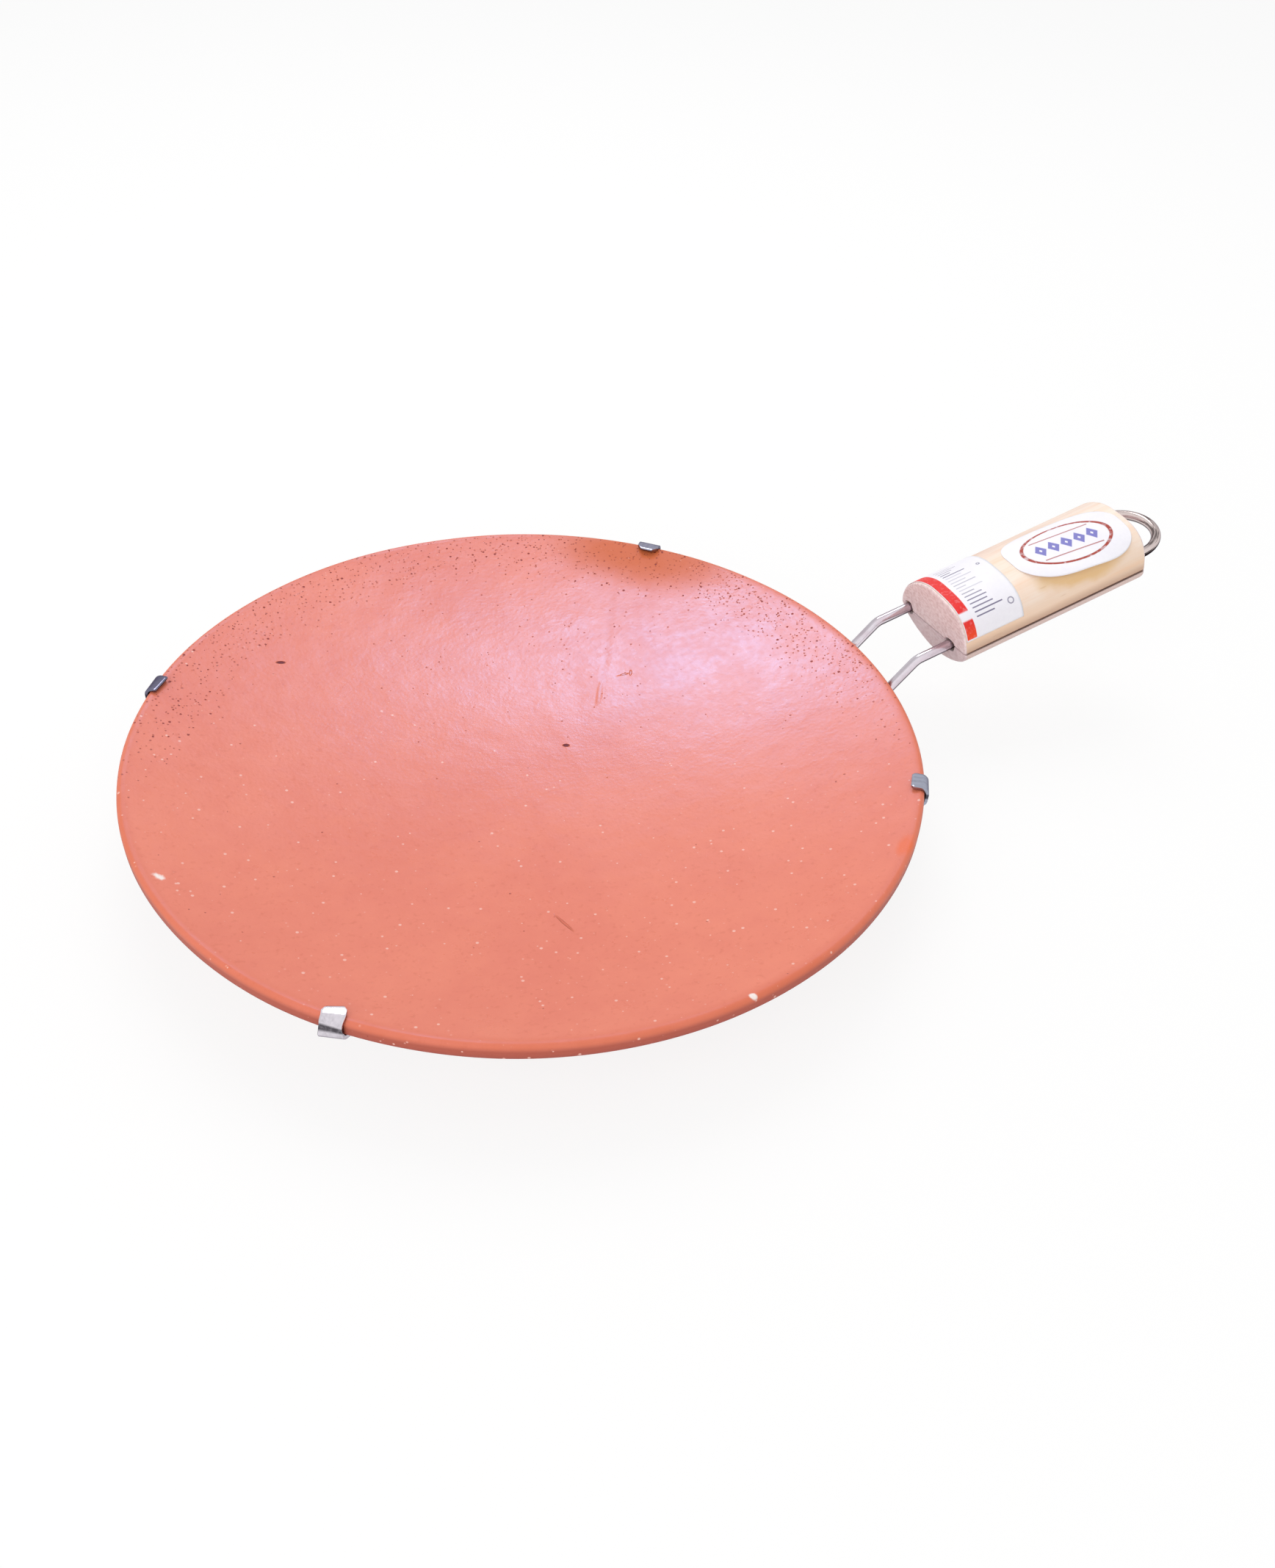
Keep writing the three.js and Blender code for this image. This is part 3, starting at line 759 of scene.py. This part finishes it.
def drawnWire():
    def lengthways(places):
        return put("ShaderNodeAttribute", {}, places.id_data, attribute_name="straight").outputs["Vector"]

    def soilAndPaintedShade(places, straight, bands):
        # painted reflection and shade: dark on its underside, a little grey on top, and on the loop dark
        # streaks and a black outer edge
        _, y, z = axes(straight)
        side = over(z, handle["radius"])
        outer = over(y, -handle["radius"])
        loopReflectionStreaks = times(rise(bands, 0.47, 0.6), loopHere(places))
        most = larger(rise(side, 0.12, -0.28, 0.0, 0.92), rise(side, 0.8, 1.0, 0.0, 0.4), loopReflectionStreaks)
        most = times(most, rise(bands, 0.3, 0.55, 0.6, 1.0))
        black = times(rise(outer, 0.3, 0.6), rise(side, 0.4, 0.1, 0.0, 1.2))
        return larger(most, times(black, loopHere(places)))

    def toneAndPaintedReflection(places, straight):
        # lilac-pink patches and the loop's browner tone are painted reflections
        lilac = rise(cloud(straight, 120.0), 0.3, 0.7)
        return tint(loopHere(places), tint(lilac, steel["wire"], steel["wirePink"]), steel["loop"])

    return bareSteel("drawnWire", lengthways, soilAndPaintedShade, toneAndPaintedReflection, steel["wireDark"], 0.1, 0.3)


makeWire(drawnWire())


# Welds under the dish, where the wire crosses the straps

welds = {
    "size": (1.5 * mm, 1.2 * mm, 0.5 * mm),
    "height": 0.75 * mm,
    "rough": 0.22,
    "lumps": 1.7,  # how many to a bead, more or less
    "variety": 900,  # so that no two beads are alike
    "fromStrap": 0.35 * mm,
}


def makeWelds(material):
    bm = bmesh.new()
    for choice in (straps["lower"], straps["upper"]):
        turn = math.radians(choice["angle"])
        for y in legSides:
            for side in (-1, 1):
                across = choice["shift"] + side * (straps["width"] / 2 + welds["fromStrap"])
                x = (y * math.cos(turn) - across) / math.sin(turn)
                place = Vector((x, y, welds["height"]))
                made = bmesh.ops.create_icosphere(bm, subdivisions=3, radius=1)["verts"]
                for vert in made:
                    lump = noise.noise(vert.co * welds["lumps"] + place * welds["variety"])
                    vert.co *= 1 + welds["rough"] * lump
                bmesh.ops.scale(bm, vec=welds["size"], verts=made)
                bmesh.ops.translate(bm, vec=place, verts=made)
    finishPiece("tawaWelds", bm, material)


def burntBead():
    def lengthways(places):
        return places

    def soilAndPaintedShade(places, straight, bands):
        return rise(cloud(places, 500.0), 0.4, 0.6, 0.2, 0.9)

    def toneAndPaintedReflection(places, straight):
        return steel["bead"]

    return bareSteel("weldBead", lengthways, soilAndPaintedShade, toneAndPaintedReflection, steel["beadDark"], 0.3, 0.5)


makeWelds(burntBead())


# Wooden grip

grip = {
    "length": 76.5 * mm,
    "width": 40 * mm,
    "topHeight": 17.5 * mm,
    "bottomHeight": 9.6 * mm,
    "topFullness": (1.75, 3.2),  # towards +Y and -Y
    "bottomFullness": (1.6, 1.7),
    "sideShift": -2.2 * mm,
    "frontRound": 0.8 * mm,
    "backRound": 3.5 * mm,
    "glueLine": 0.75 * mm,
    "glueInside": 0.4 * mm,
    "seamSlope": -0.055,  # the seam climbs towards -Y
    "hole": 2.25 * mm,
    "holeSides": 32,
    "holePieces": 40,
    "torn": 3 * mm,  # the mouths of the holes are torn a little, so far in
    "tornWider": 0.28,
    "tornRough": 0.5,
    "tornGrain": 420,
    "sides": 160,
    "endPieces": 5,
    "seamEdge": 0.15 * mm,
}
gripMatrix = Matrix.Translation(gripFront) @ Matrix.Rotation(-tilt, 4, "Y")


def gripPlace(angle, inset=0.0):
    above = math.sin(angle) > 0
    height = (grip["topHeight"] if above else grip["bottomHeight"]) - inset
    fullness = grip["topFullness"] if above else grip["bottomFullness"]
    power = 2 / fullness[0 if math.cos(angle) > 0 else 1]
    across = math.copysign(abs(math.cos(angle)) ** power, math.cos(angle))
    upwards = math.copysign(abs(math.sin(angle)) ** power, math.sin(angle))
    return Vector((across * (grip["width"] / 2 - inset) + grip["sideShift"], upwards * height))


def gripBlank(inset=0.0):
    bm = bmesh.new()
    ring = bmesh.ops.create_circle(bm, cap_ends=True, segments=grip["sides"], radius=1)["verts"]
    for vert in ring:
        place = gripPlace(math.atan2(vert.co.y, vert.co.x), inset)
        vert.co = (inset, place.x, place.y)
    far = only(bmesh.types.BMVert, bmesh.ops.extrude_face_region(bm, geom=list(bm.faces))["geom"])
    bmesh.ops.translate(bm, vec=(grip["length"] - 2 * inset, 0, 0), verts=far)
    bmesh.ops.recalc_face_normals(bm, faces=bm.faces)
    for x, size in ((inset, grip["frontRound"]), (grip["length"] - inset, grip["backRound"])):
        rim = [edge for edge in bm.edges if all(abs(vert.co.x - x) < 0.01 * mm for vert in edge.verts)]
        bmesh.ops.bevel(bm, geom=rim, offset=size, offset_type="OFFSET", segments=grip["endPieces"],
                        profile=0.5, affect="EDGES", material=-1, clamp_overlap=True)
    return bm


def cutLevel(bm, height, keepAbove):
    cut = bmesh.ops.bisect_plane(bm, geom=[*bm.verts, *bm.edges, *bm.faces], dist=0.001 * mm,
                                 plane_co=(0, 0, height), plane_no=(0, -grip["seamSlope"], 1),
                                 clear_inner=keepAbove, clear_outer=not keepAbove)
    bmesh.ops.holes_fill(bm, edges=only(bmesh.types.BMEdge, cut["geom_cut"]))
    bmesh.ops.recalc_face_normals(bm, faces=bm.faces)


def wireHoles():
    bm = bmesh.new()
    for y in legSides:
        along = Matrix.Translation((grip["length"] / 2, y, 0)) @ Matrix.Rotation(math.pi / 2, 4, "Y")
        bmesh.ops.create_cone(bm, cap_ends=True, segments=grip["holeSides"], radius1=grip["hole"],
                              radius2=grip["hole"], depth=grip["length"] + 6 * mm, matrix=along)
        lengthways = [edge for edge in bm.edges if edge.calc_length() > grip["length"]]
        bmesh.ops.subdivide_edges(bm, edges=lengthways, cuts=grip["holePieces"])
    for vert in bm.verts:
        torn = smoothRise(min(vert.co.x, grip["length"] - vert.co.x), grip["torn"], -1 * mm)
        side = math.copysign(handle["spacing"] / 2, vert.co.y)
        spoke = Vector((0, vert.co.y - side, vert.co.z))
        rough = grip["tornRough"] * noise.noise(vert.co * grip["tornGrain"])
        vert.co += spoke * torn * (grip["tornWider"] + rough)
    return show("wireHoles", meshFrom("wireHoles", bm))


def carvedPiece(name, node, bm, material, cutter):
    # a piece of the grip in its place, with the holes for the wire cut out of it
    blank = show("blank", meshFrom("blank", bm))
    cut = blank.modifiers.new("holes", "BOOLEAN")
    cut.object = cutter
    cut.operation = "DIFFERENCE"
    cut.solver = "EXACT"
    carved = bmesh.new()
    carved.from_mesh(blank.evaluated_get(bpy.context.evaluated_depsgraph_get()).to_mesh())
    bpy.data.objects.remove(blank)
    bmesh.ops.remove_doubles(carved, verts=carved.verts, dist=0.002 * mm)
    bmesh.ops.transform(carved, matrix=gripMatrix, verts=carved.verts)
    return finishPiece(name, carved, material, node, 35)


def makeGripHalf(name, node, above, material, cutter):
    bm = gripBlank()
    half = grip["glueLine"] / 2
    cutLevel(bm, half if above else -half, above)
    soften(carvedPiece(name, node, bm, material, cutter), grip["seamEdge"], 55)


def makeGlue(material, cutter):
    bm = gripBlank(grip["glueInside"])
    cutLevel(bm, grip["glueLine"] / 2, False)
    cutLevel(bm, -grip["glueLine"] / 2, True)
    carvedPiece("tawaGripGlue", None, bm, material, cutter)


wood = {
    "pale": colour(255, 243, 232),
    "streak": colour(248, 216, 190),
    "pore": colour(216, 176, 146),
    # seamShade and far: painted shade along the seam and on the far side
    "seamShade": colour(208, 172, 148),
    "lower": colour(226, 204, 200),
    "far": colour(230, 202, 190),
    "low": colour(236, 196, 158),
    "end": colour(253, 238, 240),
    "endDark": colour(222, 196, 196),
    "endLow": colour(206, 184, 190),
    "ochrePatchColour": colour(230, 186, 116),
    # glue: the joint's own dark colour, made darker as painted shadow in the gap
    "glue": colour(70, 36, 28),
    "ringSpacing": 3.4 * mm,
    "ringCentre": (0, 34 * mm, -40 * mm),
    "ringWander": 9 * mm,
    "ochrePatchPlace": ((49.5, -18.8, 12.2), -5, (18.5, 3.6, 6.2), 0.28, 0.55, 160.0),  # as the clay's marks
    "broad": (60.0, 260.0, 0.4),  # as the clay's mottle
    "glueClouds": (200.0, 900.0, 0.5),
    "pores": (900.0, 0.4),  # as the clay's specks
    "poreShare": 0.1,
}


def gripCoordinates(places):
    inputs = {"Vector": places, "Location": gripFront, "Rotation": (0, -tilt, 0)}
    return put("ShaderNodeMapping", inputs, vector_type="TEXTURE").outputs[0]


def sandedWood():
    material, shader, coordinates = newFinish("sandedWood")
    places = gripCoordinates(coordinates["Object"])
    x, y, z = axes(places)
    bent = put("ShaderNodeTexNoise", {"Vector": stretch(places, 0.35, 1, 1), "Scale": 26.0}).outputs["Color"]
    shift = stretch(vectors("SUBTRACT", bent, (0.5, 0.5, 0.5)), *[wood["ringWander"]] * 3)
    grown = vectors("SUBTRACT", vectors("ADD", places, shift), wood["ringCentre"])
    ringTurn = times(vectors("LENGTH", stretch(grown, 0.06, 1, 1)), 2 * math.pi / wood["ringSpacing"])
    rings = rise(maths("SINE", ringTurn), -0.4, 1.0)
    fibre = cloud(stretch(places, 30, 1100, 1100), 1.0, 4.0, 0.6)
    broad = uneven(stretch(places, 0.3, 1, 1), *wood["broad"])
    broken = rise(cloud(stretch(places, 0.4, 1, 1), 130.0), 0.3, 0.6)
    streak = plus(times(rings, broken, 0.36), times(rise(fibre, 0.4, 0.72), 0.2), times(broad, 0.44))
    shade = tint(streak, wood["pale"], wood["streak"])
    pores = specks(stretch(places, 0.16, 1, 1), wood["poreShare"], *wood["pores"])
    shade = tint(times(pores, 0.4), shade, wood["pore"])

    # painted shade on the far side and along the seam, a yellower tone low on the near side, and greyer wood
    # below the seam
    level = minus(z, times(y, grip["seamSlope"]))
    below = rise(level, 0.1 * mm, -0.1 * mm)
    farSideShade = times(rise(y, -4 * mm, 9 * mm, 0.0, 0.75), rise(broad, 0.0, 1.0, 0.5, 1.0))
    shade = tint(farSideShade, shade, wood["far"])
    lowSide = times(rise(y, -15 * mm, -19 * mm), rise(level, 11.5 * mm, 5 * mm, 0.0, 0.45))
    shade = tint(lowSide, shade, wood["low"])
    shade = tint(rise(level, 5.0 * mm, 0.6 * mm, 0.0, 0.9), shade, wood["seamShade"])
    shade = tint(times(below, 0.8), shade, wood["lower"])
    # right at the seam the wood darkens to the glue's colour: the dark joint, with painted shadow in the gap
    seamJointShadow = times(rise(sizeOf(level), 0.8 * mm, 0.38 * mm, 0.0, 0.6), rise(broad, 0.0, 0.7, 0.4, 1.0))
    shade = tint(seamJointShadow, shade, wood["glue"])

    # the sawn ends are greyer and speckled
    half = grip["length"] / 2
    sawn = rise(sizeOf(minus(x, half)), half - 1.0 * mm, half - 0.35 * mm)
    endGrain = cloud(stretch(places, 1, 1, 1.6), 620.0)
    endMix = plus(times(broad, 0.4), rise(endGrain, 0.35, 0.7, 0.0, 0.6))
    sawnWood = tint(endMix, wood["end"], wood["endDark"])
    shade = tint(sawn, shade, tint(times(below, 0.35), sawnWood, wood["endLow"]))

    # an ochre patch on the wood under the sticker's loose near edge
    ochrePatch = times(markAt(places, *wood["ochrePatchPlace"]), rise(z, 0.0, 2 * mm), 0.7)
    shade = tint(ochrePatch, shade, wood["ochrePatchColour"])
    height = plus(times(fibre, 0.03), times(broad, 0.08), times(pores, -0.04), times(endGrain, sawn, 0.22))
    fill(shader, {"Base Color": shade, "Roughness": rise(fibre, 0.2, 0.8, 0.56, 0.72),
                  "Specular IOR Level": 0.14, "Normal": bump(height)})
    return material


def driedGlue():
    material, shader, coordinates = newFinish("driedGlue")
    places = coordinates["Object"]
    clouds = uneven(places, *wood["glueClouds"])
    # the glue is dark, and darker still as painted shadow in the gap
    shade = tint(times(clouds, 0.3), wood["glue"], wood["pore"])
    fromFront = axes(gripCoordinates(places))["X"]
    shade = tint(rise(fromFront, 1.6 * mm, 0.8 * mm, 0.0, 0.8), shade, wood["endLow"])
    fill(shader, {"Base Color": shade, "Roughness": rise(clouds, 0.0, 1.0, 0.5, 0.8)})
    return material


holes = wireHoles()
woodFinish = sandedWood()
makeGripHalf("tawaGripTop", "grip_top", True, woodFinish, holes)
makeGripHalf("tawaGripBottom", "grip_bottom", False, woodFinish, holes)
makeGlue(driedGlue(), holes)
bpy.data.objects.remove(holes)


# Paper on the grip

papers = {
    "off": 0.12 * mm,
    "thickness": 0.16 * mm,
    "arcPieces": 2000,
    "labelStart": 0.9 * mm,
    "labelLength": 23.4 * mm,
    "labelWidth": 50.6 * mm,
    "stickerMiddle": 51.7 * mm,
    "stickerLength": 44.4 * mm,
    "stickerWidth": 26 * mm,
    "stickerOffset": 6.6 * mm,
    "stickerSkew": 0.11,
    "stickerFullness": 2.9,
    "stickerCurl": 15 * mm,  # radius, of the loose near edge
    "curlWave": (0.8, 0.3, 3.4, 0.9),  # how tight it is along the edge: mean, swing, pace and start
    "stickerLoose": 10 * mm,
    "bluntEnds": 0.04,
    "printSheet": 60 * mm,  # the width of one whole printed sheet, for the sticker's print
}
topArc = [gripPlace(math.pi * index / papers["arcPieces"]) for index in range(papers["arcPieces"] + 1)]
topReach = distances(topArc)
topMiddle = topReach[papers["arcPieces"] // 2]


def roundTheWood(distance, off):
    # a place a distance round the wood from its top line, towards -Y, and that far off it
    reach = topMiddle + distance
    index = min(range(len(topReach) - 1), key=lambda item: abs(topReach[item] - reach))
    index = min(max(index, 1), len(topReach) - 2)
    along = (topArc[index + 1] - topArc[index - 1]).normalized()
    place = topArc[index] + along * (reach - topReach[index])
    return place + Vector((along.y, -along.x)) * off


def layPaper(name, node, columns, rows, sheetAt, material):
    bm = bmesh.new()
    printed = bm.loops.layers.uv.new("print")
    bmesh.ops.create_grid(bm, x_segments=columns, y_segments=rows, size=0.5)
    for vert in bm.verts:
        along, distance, lift, sheet = sheetAt(vert.co.x + 0.5, vert.co.y + 0.5)
        for loop in vert.link_loops:
            loop[printed].uv = sheet
        place = roundTheWood(distance, papers["off"] + lift)
        vert.co = (along, place.x, place.y)
    bmesh.ops.transform(bm, matrix=gripMatrix, verts=bm.verts)
    bmesh.ops.recalc_face_normals(bm, faces=bm.faces)
    middle = bm.faces[:][len(bm.faces) // 2]
    if middle.normal.dot(offGrip) < 0:
        bmesh.ops.reverse_faces(bm, faces=bm.faces)
    thicken(finishPiece(name, bm, material, node), papers["thickness"], 1)


def labelAt(alongShare, aroundShare):
    along = papers["labelStart"] + papers["labelLength"] * alongShare
    distance = papers["labelWidth"] * (aroundShare - 0.5)
    return along, distance, 0.0, (alongShare, aroundShare)


def stickerAt(alongShare, aroundShare):
    turn = papers["bluntEnds"] + (1 - 2 * papers["bluntEnds"]) * alongShare
    along = -math.cos(math.pi * turn)
    full = papers["stickerFullness"]
    half = papers["stickerWidth"] / 2 * (1 - abs(along) ** full) ** (1 / full)
    middle = papers["stickerOffset"] + papers["stickerSkew"] * papers["stickerLength"] / 2 * along
    distance = middle + half * (2 * aroundShare - 1)
    place = papers["stickerMiddle"] + papers["stickerLength"] / 2 * along
    sheet = (0.5 + (place - papers["stickerMiddle"]) / papers["printSheet"],
             0.5 + (distance - middle) / papers["printSheet"])
    edge = middle + papers["stickerWidth"] / 2 - papers["stickerLoose"]
    mean, swing, pace, start = papers["curlWave"]
    curl = papers["stickerCurl"] / (mean + swing * math.sin(along * pace + start))
    bend = max(distance - edge, 0) / curl
    if bend > 0:
        distance = edge + curl * math.sin(bend)
    return place, distance, curl * (1 - math.cos(bend)), sheet


inks = {
    "paper": colour(249, 248, 254),
    "paperShade": colour(238, 236, 246),
    "red": colour(232, 52, 50),
    "redWarm": colour(246, 78, 38),
    "rule": colour(92, 84, 124),
    "violet": colour(92, 90, 190),
    "brownRed": colour(172, 72, 62),
    "clouds": (70.0, 700.0, 0.3),  # of the paper, as the clay's mottle
}


def paperBase(name):
    material, shader, coordinates = newFinish(name)
    places = coordinates["Object"]
    clouds = uneven(places, *inks["clouds"])
    fill(shader, {"Roughness": 0.5, "Specular IOR Level": 0.2, "Normal": bump(times(clouds, 0.12))})
    across, up, _ = axes(coordinates["UV"])
    return material, shader, places, across, up, tint(times(clouds, 0.6), inks["paper"], inks["paperShade"])


def lot(number):
    # chance, the same each time for a whole number
    return put("ShaderNodeTexWhiteNoise", {"W": number}, noise_dimensions="1D").outputs["Value"]


# where the label's print lies: from, to and soft edge, as shares of its length or of its width
label = {
    "band": (0.012, 0.178, 0.006),
    "bandGap": (0.79, 0.852, 0.008),
    "rows": 31.0,  # over its whole width
    "rowLine": (0.36, 0.64, 0.08),  # in shares of a row
    "ruleField": (0.3, 0.87, 0.004),
    "rings": 10.0,  # the same
    "ringField": (0.4, 0.9, 0.004),
}


def labelPrint():
    material, shader, places, along, around, shade = paperBase("labelPaper")
    worn = cloud(places, 900.0)

    # a red band along the front edge, with one break in it
    band = times(between(along, *label["band"]), rise(around, 0.992, 0.984),
                 minus(1.0, between(around, *label["bandGap"])), rise(worn, 0.2, 0.5, 0.82, 1.0))
    red = tint(rise(around, 0.84, 0.99), inks["red"], inks["redWarm"])
    shade = tint(band, shade, red)

    # plain rules behind it, each with its own length and weight
    rows = times(around, label["rows"])
    row = maths("FLOOR", rows)
    nearRows = rise(around, 0.58, 0.74)
    reach = plus(rise(lot(row), 0.0, 1.0, 0.42, 0.66), times(nearRows, 0.1))
    length = times(rise(along, 0.25, 0.262), maths("LESS_THAN", along, reach))
    weight = larger(rise(lot(plus(row, 40.5)), 0.1, 1.0, 0.3, 1.0), times(nearRows, 0.85))
    rule = times(between(maths("FRACT", rows), *label["rowLine"]), length,
                 between(around, *label["ruleField"]), weight)
    shade = tint(rule, shade, inks["rule"])

    # small open rings in a column behind the rules
    rings = times(around, label["rings"])
    chance = lot(plus(maths("FLOOR", rings), 7.5))
    acrossRing = times(minus(maths("FRACT", rings), 0.5), papers["labelWidth"] / mm / label["rings"])
    middle = rise(chance, 0.0, 1.0, 0.76, 0.86)
    alongRing = times(minus(along, middle), papers["labelLength"] / mm)
    fromMiddle = maths("SQRT", plus(times(acrossRing, acrossRing), times(alongRing, alongRing)))
    size = rise(around, 0.4, 0.8, 0.5, 1.05)
    ring = times(rise(sizeOf(minus(fromMiddle, size)), 0.3, 0.14), maths("GREATER_THAN", chance, 0.3),
                 between(around, *label["ringField"]))
    fill(shader, {"Base Color": tint(times(ring, 0.7), shade, inks["rule"])})
    return material


# the sticker's print, in millimetres from its middle
sticker = {
    "oval": (16.4, 9.2),  # half length and half width
    "ovalLine": 0.042,  # half its thickness, as a share of its size
    "lozengeStep": 5.0,
    "lozenge": (0.44, 3.1),  # half length as a share of the step, and half height
    "lozengesEnd": 12.5,
    "rule": (4.7, 5.2, 0.12),  # from, to and soft edge
    "ruleEnd": 11.4,
}


def stickerPrint():
    material, shader, places, across, up, shade = paperBase("stickerPaper")
    x, y = (times(minus(share, 0.5), papers["printSheet"] / mm) for share in (across, up))

    # a plain oval ring
    squares = [maths("POWER", sizeOf(over(side, half)), 2.0) for side, half in zip((x, y), sticker["oval"])]
    line = sticker["ovalLine"]
    oval = between(maths("SQRT", plus(*squares)), 1 - line, 1 + line, 0.012)
    shade = tint(times(oval, rise(cloud(places, 600.0), 0.3, 0.5, 0.5, 1.0)), shade, inks["brownRed"])

    # a row of lozenges between two thin rules
    halfLength, halfHeight = sticker["lozenge"]
    cell = minus(maths("FRACT", plus(over(x, sticker["lozengeStep"]), 0.5)), 0.5)
    reach = plus(sizeOf(over(cell, halfLength)), sizeOf(over(y, halfHeight)))
    row = times(rise(reach, 1.06, 0.94), maths("LESS_THAN", sizeOf(x), sticker["lozengesEnd"]))
    shade = tint(times(row, rise(reach, 0.2, 0.3), 0.85), shade, inks["violet"])
    rules = times(between(sizeOf(y), *sticker["rule"]), maths("LESS_THAN", sizeOf(x), sticker["ruleEnd"]))
    fill(shader, {"Base Color": tint(times(rules, 0.8), shade, inks["brownRed"])})
    return material


layPaper("tawaLabel", "front_label", 24, 90, labelAt, labelPrint())
layPaper("tawaSticker", "oval_sticker", 64, 48, stickerAt, stickerPrint())


# Studio: floor, light and camera

studio = {
    "floorSize": 8,
    "floorColour": (0.98, 0.98, 0.98, 1),
    "floorWhite": 0.85,  # how far the floor is plain white where it is seen
    "skyLight": 0.64,
    "lampsAim": (60 * mm, 0, 30 * mm),
    # direction in degrees (round the object, and up), distance, size, power and colour
    "sheen": ((77.5, 51.5), 4.0, 0.6, 52.0, (0.38, 0.82, 0.95)),
    "glint": ((80, 53), 4.0, 1.4, 30.0, (0.96, 0.98, 1.0)),
    "key": ((77, 60), 1.2, 0.9, 5.0, (1.0, 0.985, 0.98)),
    "fill": ((-143, 32), 1.4, 1.2, 6.2, (1.0, 0.98, 0.965)),
    "cameraPlace": (-0.11808, -0.31156, 0.2960),
    "cameraSide": (-116.91, 40.53),  # degrees round the object, and up
    "cameraRoll": 3.29,  # degrees
    "cameraLens": 30.07,
    "cameraSensor": 36,
    "cameraNearest": 10 * mm,
}


def towards(azimuth, elevation):
    # the direction that lies so many degrees round the object, and so many up
    azimuth, elevation = math.radians(azimuth), math.radians(elevation)
    level = math.cos(elevation)
    return Vector((math.cos(azimuth) * level, math.sin(azimuth) * level, math.sin(elevation)))


def addLamp(name, onlyReflected, onlyOn=None, notOn=None):
    direction, distance, size, power, lampColour = studio[name]
    light = bpy.data.lights.new(name, "AREA")
    light.shape = "DISK"
    light.size = size
    light.energy = power
    light.color = lampColour
    target = Vector(studio["lampsAim"])
    lamp = show(name, light)
    lamp.location = target + towards(*direction) * distance
    lamp.rotation_euler = (target - lamp.location).to_track_quat("-Z", "Y").to_euler()
    lamp.visible_glossy = onlyReflected
    lamp.visible_diffuse = not onlyReflected
    if onlyOn or notOn:
        chosen = bpy.data.collections.new(name)
        chosen.objects.link(onlyOn or notOn)
        lamp.light_linking.receiver_collection = chosen
        chosen.collection_objects[0].light_linking.link_state = "INCLUDE" if onlyOn else "EXCLUDE"


def seen(tree):
    # what the camera sees, also in a mirror or through glass
    rays = put("ShaderNodeLightPath", {}, tree).outputs
    return larger(rays["Is Camera Ray"], rays["Is Glossy Ray"], rays["Is Transmission Ray"])


def makeFloor():
    bm = bmesh.new()
    bmesh.ops.create_grid(bm, x_segments=1, y_segments=1, size=studio["floorSize"] / 2)
    floor = show("floor", meshFrom("floor", bm))
    material = bpy.data.materials.new("paleFloor")
    material.use_nodes = True
    tree = material.node_tree
    tree.nodes.remove(tree.nodes["Principled BSDF"])
    lit = put("ShaderNodeBsdfDiffuse", {"Color": studio["floorColour"]}, tree).outputs[0]
    white = put("ShaderNodeEmission", {"Color": (1, 1, 1, 1), "Strength": 1.0}, tree).outputs[0]
    share = times(seen(tree), studio["floorWhite"])
    mixed = put("ShaderNodeMixShader", {0: share, 1: lit, 2: white}).outputs[0]
    fill(tree.nodes["Material Output"], {"Surface": mixed})
    floor.data.materials.append(material)


def makeSky():
    world = bpy.data.worlds.new("studioSky")
    world.use_nodes = True
    tree = world.node_tree
    level = rise(seen(tree), 0.0, 1.0, studio["skyLight"], 1.0)
    fill(tree.nodes["Background"], {"Color": (1, 1, 1, 1), "Strength": level})
    bpy.context.scene.world = world


def makeCamera():
    azimuth, roll = math.radians(studio["cameraSide"][0]), math.radians(studio["cameraRoll"])
    back = towards(*studio["cameraSide"])
    right = Vector((-math.sin(azimuth), math.cos(azimuth), 0))
    up = back.cross(right)
    rolledRight = right * math.cos(roll) + up * math.sin(roll)
    rolledUp = up * math.cos(roll) - right * math.sin(roll)
    data = bpy.data.cameras.new("camera")
    data.sensor_width = studio["cameraSensor"]
    data.lens = studio["cameraLens"]
    data.clip_start = studio["cameraNearest"]
    camera = show("camera", data)
    turn = Matrix((rolledRight, rolledUp, back)).transposed().to_4x4()
    camera.matrix_world = Matrix.Translation(studio["cameraPlace"]) @ turn
    bpy.context.scene.camera = camera


makeFloor()
makeSky()
addLamp("sheen", True, onlyOn=clayDish)
addLamp("glint", True, notOn=clayDish)
addLamp("key", False)
addLamp("fill", False)
makeCamera()
bpy.context.scene.view_settings.view_transform = "Standard"
print("studio ready")
